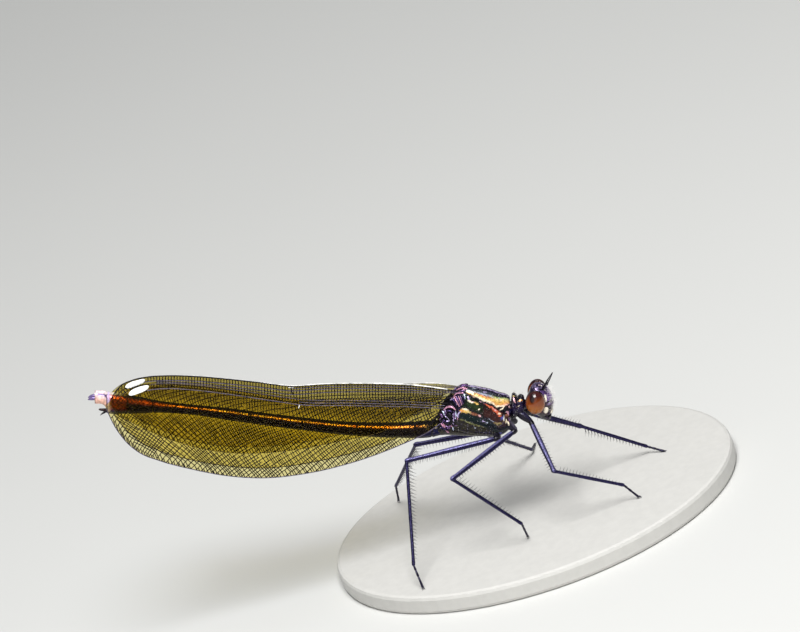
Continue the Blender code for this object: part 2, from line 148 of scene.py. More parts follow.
# Stations up the head: height, centre along X, half length, half width
HEAD = (
    (-0.32, 5.20, 0.0, 0.0),
    (-0.28, 5.34, 0.78, 0.92),
    (-0.05, 5.24, 0.98, 1.18),
    (0.20, 5.12, 1.14, 1.36),
    (0.60, 5.02, 1.29, 1.52),
    (1.00, 4.94, 1.36, 1.60),
    (1.45, 4.92, 1.28, 1.56),
    (1.80, 4.94, 1.16, 1.46),
    (2.10, 4.93, 1.04, 1.32),
    (2.40, 4.88, 0.90, 1.14),
    (2.65, 4.83, 0.68, 0.88),
    (2.84, 4.76, 0.44, 0.56),
    (2.94, 4.70, 0.22, 0.28),
    (2.98, 4.70, 0.0, 0.0),
)
# The same up the lower lip
LABIUM = (
    (-0.98, 5.78, 0.0, 0.0),
    (-0.96, 5.78, 0.22, 0.28),
    (-0.82, 5.70, 0.42, 0.50),
    (-0.55, 5.52, 0.60, 0.72),
    (-0.31, 5.36, 0.74, 0.84),
    (-0.10, 5.30, 0.72, 0.80),
    (-0.05, 5.30, 0.0, 0.0),
)
# The left eye
EYE_CENTRE = (4.64, 1.48, 1.47)
EYE_RADII = (0.97, 0.89, 1.22)
ANTENNAE = {
    "right": ((5.05, -0.62, 1.90), (5.40, -0.76, 2.90), (5.82, -0.88, 3.80), (6.25, -1.00, 4.60)),
    "left": ((5.15, 0.70, 1.80), (5.60, 1.05, 2.40), (5.90, 1.65, 2.85), (6.10, 2.20, 3.20)),
}
# Radius of a feeler by the share of the way along it: two thick parts, then the whip
FEELER_RADII = (
    (0, 0.14), (0.05, 0.16), (0.16, 0.15), (0.18, 0.11), (0.20, 0.13), (0.36, 0.12), (0.40, 0.09),
    (0.43, 0.074), (0.60, 0.066), (1.0, 0.030),
)

# The wings. upper, the leading edge, and lower are x and height. nodus is the x of the notch halfway. spot is
# the middle of the white spot, and slant its slope. glint is the radius of the painted highlight line along
# the leading edge, by the way from the root. mark is the two ends of the painted highlight at the notch, from
# there.
WING_PAIRS = {
    "fore": {
        "upper": (
            (-3.0, 2.30), (-4.0, 2.46), (-6.1, 2.70), (-9.2, 2.82), (-12.2, 2.89), (-16.8, 2.82),
            (-19.8, 2.64), (-23.0, 3.02), (-26.1, 3.39), (-29.5, 3.70), (-32.4, 3.77), (-34.1, 3.66),
            (-35.8, 3.26), (-37.0, 2.62), (-37.6, 1.95), (-38.0, 1.36),
        ),
        "lower": (
            (-3.0, 1.75), (-4.0, 1.65), (-6.0, 0.45), (-9.0, -1.15), (-10.7, -1.95), (-15.3, -3.15),
            (-18.4, -3.85), (-23.0, -4.40), (-26.0, -4.38), (-29.5, -3.78), (-33.0, -2.50), (-36.0, -0.84),
            (-37.2, -0.08), (-38.0, 1.10),
        ),
        "nodus": -19.8,
        "spot": (-35.45, 2.95),
        "slant": 18.0,
        "glint": ((0.0, 1.5, 6.0, 9.0, 16.0, 20.0, 31.0), (0.03, 0.075, 0.070, 0.040, 0.030, 0.016, 0.014)),
        "mark": ((0.16, -0.16), (-0.34, -0.14)),
    },
    "hind": {
        "upper": (
            (-4.2, 1.10), (-5.1, 1.06), (-9.0, 0.98), (-14.0, 1.08), (-19.1, 1.20), (-21.4, 1.56),
            (-26.0, 2.31), (-29.5, 2.78), (-32.5, 2.95), (-34.1, 2.82), (-35.5, 2.46), (-36.8, 2.06),
            (-37.8, 1.55), (-38.4, 0.95),
        ),
        "lower": (
            (-4.2, -0.60), (-5.1, -1.15), (-6.0, -1.80), (-7.5, -2.65), (-10.7, -4.15), (-15.3, -5.71),
            (-18.3, -6.42), (-22.2, -6.93), (-26.0, -6.76), (-30.1, -5.96), (-33.0, -5.08), (-35.3, -3.92),
            (-36.6, -2.62), (-37.7, -0.90), (-38.4, 0.75),
        ),
        "nodus": -19.1,
        "spot": (-35.08, 2.33),
        "slant": 16.0,
        "glint": ((0.0, 6.0, 14.0, 22.0, 31.0), (0.020, 0.022, 0.026, 0.024, 0.016)),
        "mark": ((0.06, -0.56), (-0.04, -0.86)),
    },
}

# Where the left legs join the body, and how far the solids of the CAD model's bones reach past their joints
LEG_ROOTS = {"front": (2.85, 0.50, -0.05), "mid": (1.55, 0.75, -0.95), "hind": (0.30, 0.70, -1.70)}
HIP_REACH = -0.37
KNEE_REACH = 0.31 * math.sin(0.9)
ANKLE_REACH = 0.26 * math.sin(0.9)


# Sizes and colours that a user would change


def length_property(name, description, millimetres):
    """A length, given in millimetres and kept in metres."""
    default = millimetres * MM
    return FloatProperty(name=name, description=description, default=default, unit="LENGTH", precision=5)


def colour_property(name, description, colour):
    """A linear colour."""
    return FloatVectorProperty(
        name=name, description=description, default=colour, subtype="COLOR", min=0.0, max=1.0
    )


def power_property(name, description, watts):
    """The power of a light."""
    return FloatProperty(name=name, description=description, default=watts, unit="POWER")


class DamselflyBody(bpy.types.PropertyGroup):
    """Thorax and abdomen"""

    seam_depth: length_property("Seam depth", "How deep the seams between the thorax plates lie", 0.11)
    joint_depth: length_property("Joint depth", "How deep the rings between abdomen segments lie", 0.07)
    black: colour_property("Black", "Cuticle in the seams and below", (0.006, 0.004, 0.010))
    violet: colour_property("Violet", "Cuticle of the wing bases", (0.19, 0.10, 0.25))
    green: colour_property("Green", "Dark green metal of the side plates", (0.016, 0.030, 0.013))
    gold: colour_property("Gold", "Golden metal of the shoulder plates", (0.98, 0.62, 0.16))
    # Cream also paints highlights and glints on the thorax: the shoulder plate's lower rim and small white
    # streaks
    cream: colour_property("Cream", "Pale rims and marks", (1.0, 0.86, 0.64))
    navy: colour_property("Navy", "Blue-black side of the abdomen", (0.008, 0.007, 0.050))
    bloom: colour_property("Bloom", "Whitish pink bloom on the last segments", (0.90, 0.70, 0.72))


class DamselflyHead(bpy.types.PropertyGroup):
    """Head, eyes and feelers"""

    bronze: colour_property("Bronze", "Dark violet bronze of the head", (0.035, 0.020, 0.060))
    # Lavender also paints a highlight on the lower face
    lavender: colour_property("Lavender", "Lighter wrinkles on top of the head", (0.44, 0.34, 0.62))
    eye_top: colour_property("Eye top", "Upper part of the eye", (0.048, 0.009, 0.008))
    eye_side: colour_property("Eye side", "Middle of the eye", (0.21, 0.040, 0.001))
    eye_low: colour_property("Eye low", "Lower part of the eye", (0.40, 0.115, 0.001))
    # Cream also paints the highlight in the crescent beside the eye
    cream: colour_property("Cream", "Upper lip and the base of the jaws", (0.98, 0.90, 0.74))
    hair_length: length_property("Hair length", "Length of the hairs on the face", 0.75)


class DamselflyWings(bpy.types.PropertyGroup):
    """Membranes and veins"""

    sheet: length_property("Membrane", "Thickness of the membrane", 0.02)
    edge_vein: length_property("Edge vein", "Radius of the vein along the leading edge", 0.070)
    cross_vein: length_property("Cross vein", "Radius of the small cross veins", 0.048)
    cross_step: length_property("Cross vein spacing", "Distance between neighbouring cross veins", 0.28)
    cell: length_property("Cell height", "Smallest distance between long veins", 0.29)
    fore_gap: length_property("Forewing gap", "From the middle plane to a forewing's leading edge", 0.06)
    hind_gap: length_property("Hindwing gap", "From the middle plane to a hindwing's leading edge", 0.17)
    amber: colour_property("Amber", "Colour of light that has passed the membrane", (0.975, 0.922, 0.62))
    brown: colour_property("Brown", "The membrane's own colour", (0.013, 0.008, 0.003))
    vein: colour_property("Vein", "Colour of the fine veins", (0.006, 0.004, 0.006))
    # The main veins' lilac is partly a painted highlight, and it also paints the hindwings' highlight line
    main_vein: colour_property("Main vein", "Colour of the strong long veins", (0.075, 0.062, 0.105))
    # Glint paints the highlight along the forewings' leading edges and at the notches
    glint: colour_property("Glint", "Pale upper side of the leading edges", (0.80, 0.78, 0.74))
    spot: colour_property("Spot", "Colour of the false wing spots", (0.95, 0.95, 0.94))


class DamselflyLegs(bpy.types.PropertyGroup):
    """Legs and their spines"""

    femur: length_property("Femur", "Radius of the femur", 0.27)
    tibia: length_property("Tibia", "Radius of the tibia", 0.175)
    tarsus: length_property("Tarsus", "Radius of the foot", 0.115)
    spine: length_property("Spine", "Length of the longest spines", 1.05)
    spine_step: length_property("Spine spacing", "Distance between neighbouring spines", 0.36)
    indigo: colour_property("Indigo", "Blue-black cuticle of the legs", (0.026, 0.022, 0.075))
    # Painted highlight: the paler colour of the legs' upper side, where light falls
    sheen: colour_property("Sheen", "Paler upper side of the legs", (0.145, 0.135, 0.30))


class DamselflyStage(bpy.types.PropertyGroup):
    """Floor, lights and camera"""

    distance: length_property("Camera distance", "From the camera to the insect", 889.0)
    lens: FloatProperty(name="Lens", description="Focal length of the camera", default=400.0, unit="CAMERA")
    floor: colour_property("Floor", "Colour of the floor", (0.62, 0.62, 0.60))
    key: power_property("Key light", "Strength of the key light", 2.6)
    side: power_property("Side light", "Strength of the wide light", 0.45)
    top: power_property("Top light", "Strength of the light overhead", 0.45)
    world: FloatProperty(name="World", description="Strength of the light from all round", default=0.14)


# Curves and shapes

WHITE = (1, 1, 1, 0)
# Grooves on rings smaller than this keep the depth that they would have on it
SMALL_RING = 0.3
# Vertices of a skin that lie this close, at its poles and where it closes, are one
SEAM_MERGE = 0.002
# Edges that turn by more than this stay sharp
SHARP_ANGLE = math.radians(55.0)
# Ridges round a keeled rod
ROD_KEELS = 5
# A bristle's tip, as a share of its root, and its patch in the OFBake map
SPIKE_TIP = 0.12
PATCH_RADIUS = 0.0015


def ease(value):
    """0 below 0, 1 above 1, and smooth between."""
    value = min(max(value, 0.0), 1.0)
    return value * value * (3 - 2 * value)


def hump(value, width):
    """1 at 0, falling smoothly to nothing within about twice the width on either side."""
    return math.exp(-((value / width) ** 2))


def ripple(*place):
    """Smooth noise between -1 and 1, the same each time, by three coordinates."""
    return noise.noise(place)


def smooth_through(keys, values, at):
    """Values of a smooth curve through points with rising keys, at one place or many."""
    keys, values = np.asarray(keys, float), np.asarray(values, float)
    slopes = np.gradient(values, keys, axis=0)
    at = np.clip(np.asarray(at, float), keys[0], keys[-1])
    place = np.clip(np.searchsorted(keys, at), 1, len(keys) - 1)
    span = keys[place] - keys[place - 1]
    t = (at - keys[place - 1]) / span
    if values.ndim > 1:
        span, t = span[..., None], t[..., None]
    return (
        values[place - 1] * (1 + 2 * t) * (1 - t) ** 2
        + slopes[place - 1] * span * t * (1 - t) ** 2
        + values[place] * t * t * (3 - 2 * t)
        - slopes[place] * span * t * t * (1 - t)
    )


def curve_of(points):
    """A function of X through points that run from high X to low X."""
    xs = [-x for x, _ in points]
    ys = [y for _, y in points]
    return lambda x: smooth_through(xs, ys, -np.asarray(x, float))


def sampled(points):
    """The same curve read from a fine table over the abdomen and wings, which is quicker point by point."""
    xs = np.arange(-41.0, 0.0, 0.05)
    ys = curve_of(points)(xs)
    return lambda x: float(np.interp(x, xs, ys))


abdomen_line = sampled(ABDOMEN_LINE)
abdomen_height = sampled(ABDOMEN_HALF_HEIGHT)
abdomen_width = sampled(ABDOMEN_HALF_WIDTH)
fore_lower_edge = sampled(WING_PAIRS["fore"]["lower"])


def seam_angle(seam, x):
    """The seam's angle from the top of the back, at one place along the thorax."""
    return float(np.interp(x, [point[0] for point in seam], [point[1] for point in seam]))


def dense_stations(stations, step):
    """The stations with smooth ones between them, about step apart along the outline."""
    rows = np.array(stations, float)
    gaps = np.linalg.norm(np.diff(rows, axis=0), axis=1)
    keys = np.concatenate(([0.0], np.cumsum(gaps)))
    count = max(2, round(keys[-1] / step))
    made = smooth_through(keys, rows, np.linspace(0.0, keys[-1], count + 1))
    made[:, 2:] = np.maximum(made[:, 2:], 0.0)
    return made


def ring_at(stations, place):
    """Middle, half height and half width at one place between stations."""
    rows = np.array(sorted(stations))
    return (float(np.interp(place, rows[:, 0], rows[:, column])) for column in (1, 2, 3))


def paint_layer(bm):
    """The layer with each vertex's colour, and how metallic it is as the fourth number."""
    layers = bm.verts.layers.float_color
    return layers.get("tint") or layers.new("tint")


def oval_skin(stations, sides, depth, colour, upright=False):
    """A closed skin over oval rings, along X or, when upright, up Z.

    depth sinks each place and colour paints it, by the way along and the angle from the top or the front.
    """
    bm = bmesh.new()
    rows = len(stations)
    bmesh.ops.create_grid(bm, x_segments=rows - 1, y_segments=sides, size=0.5)
    tint = paint_layer(bm)
    for vert in bm.verts:
        along, middle, high, wide = stations[round((vert.co.x + 0.5) * (rows - 1))]
        turn = (vert.co.y + 0.5) * 2 * math.pi
        angle = math.degrees(turn if turn <= math.pi else 2 * math.pi - turn)
        sunk = depth(along, angle) if depth else 0.0
        share = max(0.0, 1 - sunk / max(high, wide, SMALL_RING))
        main = middle + high * share * math.cos(turn)
        side = -wide * share * math.sin(turn)
        vert.co = (main, side, along) if upright else (along, side, main)
        vert[tint] = colour(along, angle)
    bmesh.ops.remove_doubles(bm, verts=bm.verts, dist=SEAM_MERGE)
    return bm


def add_ball(bm, centre, radii, turn=None, segments=20, colour=WHITE):
    """Adds an ellipsoid in one colour."""
    tint = paint_layer(bm)
    place = Matrix.Translation(centre) @ (turn or Matrix.Identity(4)) @ Matrix.Diagonal((*radii, 1))
    made = bmesh.ops.create_uvsphere(
        bm, u_segments=segments, v_segments=segments // 2, radius=1.0, matrix=place
    )
    for vert in made["verts"]:
        vert[tint] = colour
    return made["verts"]


def add_rod(bm, points, radii, sides=12, colour=WHITE, keel=0.0, upper=None):
    """Adds a closed round rod along the points.

    keel is how far the ridges along it stand out, and upper is the colour of a painted highlight on its upper
    side.
    """
    rod = bmesh.new()
    tint = paint_layer(rod)
    points = [Vector(point) for point in points]
    across = None
    loops = []
    for index, (point, radius) in enumerate(zip(points, radii)):
        way = (points[min(index + 1, len(points) - 1)] - points[max(index - 1, 0)]).normalized()
        if across is None:
            across = way.orthogonal().normalized()
        across = (across - way * across.dot(way)).normalized()
        turn = Matrix((across, way.cross(across), way)).transposed().to_4x4()
        place = Matrix.Translation(point) @ turn
        ring = bmesh.ops.create_circle(rod, segments=sides, radius=1.0)["verts"]
        for number, vert in enumerate(ring):
            swell = 1 + keel * math.cos(ROD_KEELS * number * 2 * math.pi / sides)
            vert.co = place @ (vert.co * radius * swell)
            share = ease(((vert.co.z - point.z) / radius - 0.45) * 2.2) if upper else 0.0
            vert[tint] = mixed(colour, upper, share) if share else colour
        loops.append(list({edge for vert in ring for edge in vert.link_edges}))
    for near, far in zip(loops, loops[1:]):
        bmesh.ops.bridge_loops(rod, edges=near + far)
    for ring in (loops[0], loops[-1]):
        bmesh.ops.holes_fill(rod, edges=ring, sides=0)
    mesh = bpy.data.meshes.new("rod")
    rod.to_mesh(mesh)
    rod.free()
    bm.from_mesh(mesh)
    bpy.data.meshes.remove(mesh)


def add_spike(bm, root, way, length, radius, sides=5, colour=WHITE, patch=(0.5, 0.5)):
    """Adds a pointed bristle, which takes its baked colour from a small patch where it grows."""
    tint = paint_layer(bm)
    lean = Vector(way).to_track_quat("Z", "Y").to_matrix().to_4x4()
    place = Matrix.Translation(root) @ lean @ Matrix.Translation((0, 0, length / 2))
    tip = radius * SPIKE_TIP
    made = bmesh.ops.create_cone(
        bm, cap_ends=True, segments=sides, radius1=radius, radius2=tip, depth=length, matrix=place
    )
    bake = bm.loops.layers.uv.get("OFBake") or bm.loops.layers.uv.new("OFBake")
    for number, vert in enumerate(made["verts"]):
        vert[tint] = colour
        turn = number * 2 * math.pi / sides
        corner = Vector((patch[0] + PATCH_RADIUS * math.cos(turn), patch[1] + PATCH_RADIUS * math.sin(turn)))
        for loop in vert.link_loops:
            loop[bake].uv = corner


def add_piece(name, bm, place, material, nodes):
    """The bmesh as a finished piece that rides on the model and stands for its nodes."""
    bmesh.ops.recalc_face_normals(bm, faces=bm.faces)
    bmesh.ops.transform(bm, matrix=Matrix.Scale(MM, 4) @ place, verts=bm.verts)
    mesh = bpy.data.meshes.new(name)
    bm.to_mesh(mesh)
    bm.free()
    mesh.shade_smooth()
    mesh.set_sharp_from_angle(angle=SHARP_ANGLE)
    return add_mesh(name, mesh, material, nodes)


def add_mesh(name, mesh, material, nodes):
    """The same for a mesh that is already in its place."""
    if not mesh.polygons:
        raise RuntimeError(f"{name} has no faces")
    mesh.materials.append(material)
    piece = bpy.data.objects.new(name, mesh)
    bpy.context.scene.collection.objects.link(piece)
    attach(piece, "root")
    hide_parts(*nodes)
    return piece


# Colours


def mixed(one, other, share):
    """The first colour at share 0, the other at 1."""
    return tuple(a + (b - a) * share for a, b in zip(one, other))


def ramp(stops, value):
    """The colour, or number, at value between stops of place and colour."""
    if value <= stops[0][0]:
        return stops[0][1]
    for (low, one), (high, other) in zip(stops, stops[1:]):
        if value <= high:
            share = (value - low) / (high - low)
            return one + (other - one) * share if isinstance(one, float) else mixed(one, other, share)
    return stops[-1][1]


def metal(colour, share):
    """A colour with how metallic it is as its fourth number."""
    return (*colour, share)


# Finishes

NOISE_LOW, NOISE_HIGH = 0.3, 0.7


class Finish:
    """A node material under construction."""

    def __init__(self, name):
        self.material = bpy.data.materials.new(name)
        self.material.use_nodes = True
        self.tree = self.material.node_tree
        self.shader = self.tree.nodes["Principled BSDF"]

    def node(self, kind, **settings):
        made = self.tree.nodes.new(kind)
        for key, value in settings.items():
            setattr(made, key, value)
        return made

    def link(self, source, target):
        self.tree.links.new(source, target)

    def set(self, **values):
        for key, value in values.items():
            self.shader.inputs[key.replace("_", " ")].default_value = value

    def noise(self, scale, detail=3.0):
        """Noise over the piece, with the scale in waves for each millimetre."""
        place = self.node("ShaderNodeTexCoord")
        grain = self.node("ShaderNodeTexNoise")
        grain.inputs["Scale"].default_value = scale / MM
        grain.inputs["Detail"].default_value = detail
        self.link(place.outputs["Object"], grain.inputs["Vector"])
        return grain.outputs["Fac"]

    def bump(self, height, strength, distance):
        made = self.node("ShaderNodeBump")
        made.inputs["Strength"].default_value = strength
        made.inputs["Distance"].default_value = distance * MM
        self.link(height, made.inputs["Height"])
        self.link(made.outputs["Normal"], self.shader.inputs["Normal"])

    def scaled(self, value, low, high):
        """Noise, which mostly keeps to the middle of its range, spread over another range."""
        made = self.node("ShaderNodeMapRange")
        ends = {"From Min": NOISE_LOW, "From Max": NOISE_HIGH, "To Min": low, "To Max": high}
        for key, end in ends.items():
            made.inputs[key].default_value = end
        self.link(value, made.inputs["Value"])
        return made.outputs["Result"]

    def shaded(self, colour, factor):
        """A colour, from a socket or three numbers, made lighter and darker by a factor."""
        made = self.node("ShaderNodeVectorMath", operation="SCALE")
        if isinstance(colour, bpy.types.NodeSocket):
            self.link(colour, made.inputs[0])
        else:
            made.inputs[0].default_value = colour
        self.link(factor, made.inputs["Scale"])
        return made.outputs["Vector"]


def painted_finish(name, roughness, grain=5.0, uneven=0.35, bump=0.25, coat=0.4, shine=0.5):
    """Cuticle that takes its colour, and how metallic it is, from the paint on the mesh."""
    finish = Finish(name)
    paint = finish.node("ShaderNodeAttribute", attribute_name="tint")
    speckle = finish.scaled(finish.noise(grain), 1 - uneven, 1 + uneven)
    finish.link(finish.shaded(paint.outputs["Color"], speckle), finish.shader.inputs["Base Color"])
    finish.link(paint.outputs["Alpha"], finish.shader.inputs["Metallic"])
    rough = finish.scaled(finish.noise(grain * 0.6), roughness * 0.7, roughness * 1.4)
    finish.link(rough, finish.shader.inputs["Roughness"])
    finish.bump(finish.noise(grain * 2.4), bump, 0.03)
    finish.set(Coat_Weight=coat, Coat_Roughness=0.12, Specular_IOR_Level=shine)
    return finish.material


def vein_finish(name, colour, roughness, shine):
    """Veins, lighter and darker along their way."""
    finish = Finish(name)
    light = finish.scaled(finish.noise(1.6), 0.5, 1.8)
    finish.link(finish.shaded(tuple(colour), light), finish.shader.inputs["Base Color"])
    finish.bump(finish.noise(9.0), 0.3, 0.01)
    finish.set(Roughness=roughness, Specular_IOR_Level=shine)
    return finish.material


def membrane_finish(wings):
    """Thin film that lets most light pass, tinted amber. The paint's fourth number says how smoky it is."""
    finish = Finish("wing_membrane_film")
    paint = finish.node("ShaderNodeAttribute", attribute_name="tint")
    light = finish.scaled(finish.noise(0.3, 2.0), 0.75, 1.3)
    finish.link(finish.shaded(paint.outputs["Color"], light), finish.shader.inputs["Base Color"])
    finish.bump(finish.noise(2.2), 0.2, 0.02)
    finish.set(Roughness=0.25)
    clear = finish.node("ShaderNodeBsdfTransparent")
    clear.inputs["Color"].default_value = (*wings.amber, 1.0)
    both = finish.node("ShaderNodeMixShader")
    finish.link(paint.outputs["Alpha"], both.inputs["Fac"])
    finish.link(clear.outputs["BSDF"], both.inputs[1])
    finish.link(finish.shader.outputs["BSDF"], both.inputs[2])
    finish.link(both.outputs["Shader"], finish.tree.nodes["Material Output"].inputs["Surface"])
    return finish.material


def plain_finish(name, colour, roughness, grain=3.0, uneven=0.15, bump=0.15, depth=0.03):
    """One colour, a little lighter and darker from place to place."""
    finish = Finish(name)
    light = finish.scaled(finish.noise(grain), 1 - uneven, 1 + uneven)
    finish.link(finish.shaded(tuple(colour), light), finish.shader.inputs["Base Color"])
    finish.bump(finish.noise(grain * 3), bump, depth)
    finish.set(Roughness=roughness)
    return finish.material


# Thorax

# Distance between the rings of the skin, and the corners of each
THORAX_STEP = 0.07
THORAX_SIDES = 230
# The pit in front of each middle leg: x, and half its length
PIT = 1.45
PIT_SIZE = 0.16
# Creases on each side under the folds at the wing roots
CREASES = 110
# The thorax's radius in millimetres, by which angles become lengths: at the seams and over the plates
SEAM_RADIUS = 2.2
PLATE_RADIUS = 2.3


def near_seam(x, angle, seam, width):
    """1 in a seam, and less within about width millimetres of it."""
    return hump((angle - seam_angle(seam, x)) * DEGREE * SEAM_RADIUS, width)


def blotch(x, angle, mark):
    """1 inside a soft-edged oval mark on the thorax, which may slant down towards the head."""
    centre_x, centre_angle, length, width, slant = mark[:5]
    along = x - centre_x
    down = (angle - centre_angle) * DEGREE * PLATE_RADIUS
    if max(abs(along), abs(down)) > 1.4 * max(length, width):
        return 0.0
    turn = math.radians(slant)
    p = (along * math.cos(turn) + down * math.sin(turn)) / length
    q = (down * math.cos(turn) - along * math.sin(turn)) / width
    rough = 0.30 * ripple(x * 6.5, angle * 0.24, centre_x)
    return ease(2.4 - 2.0 * (math.hypot(p, q) + rough))


def thorax_depth(body):
    """How deep each place on the thorax lies: seams, the back's ridge, a pit on each side and wrinkles."""
    seam = body.seam_depth / MM

    def depth(x, angle):
        wrinkle = 0.012 * ripple(x * 5.0, angle * 0.16, 0.0)
        wrinkle += 0.006 * ripple(x * 13.0, angle * 0.5, 4.0)
        if x > 2.06:
            return wrinkle + 0.03 * hump(angle, 6.0) + 0.06 * hump(angle - 74, 6.0)
        if x < -4.9:
            return wrinkle
        fade = ease((2.02 - x) * 4)
        sunk = 0.0
        for line, share in ((SHOULDER_SEAM, 1.0), (MIDDLE_SEAM, 1.0), (REAR_SEAM, 0.6), (BELLY_SEAM, 0.6)):
            sunk = max(sunk, share * near_seam(x, angle, line, 0.12))
        ridge = 0.08 * (1 - hump(angle, 2.5)) * hump(angle, 16.0) * ease((x + 3.2) * 2)
        pit = 0.22 * hump(x - PIT, PIT_SIZE) * hump(angle - 63, 7.0)
        return (seam * sunk + ridge) * fade + pit + wrinkle

    return depth


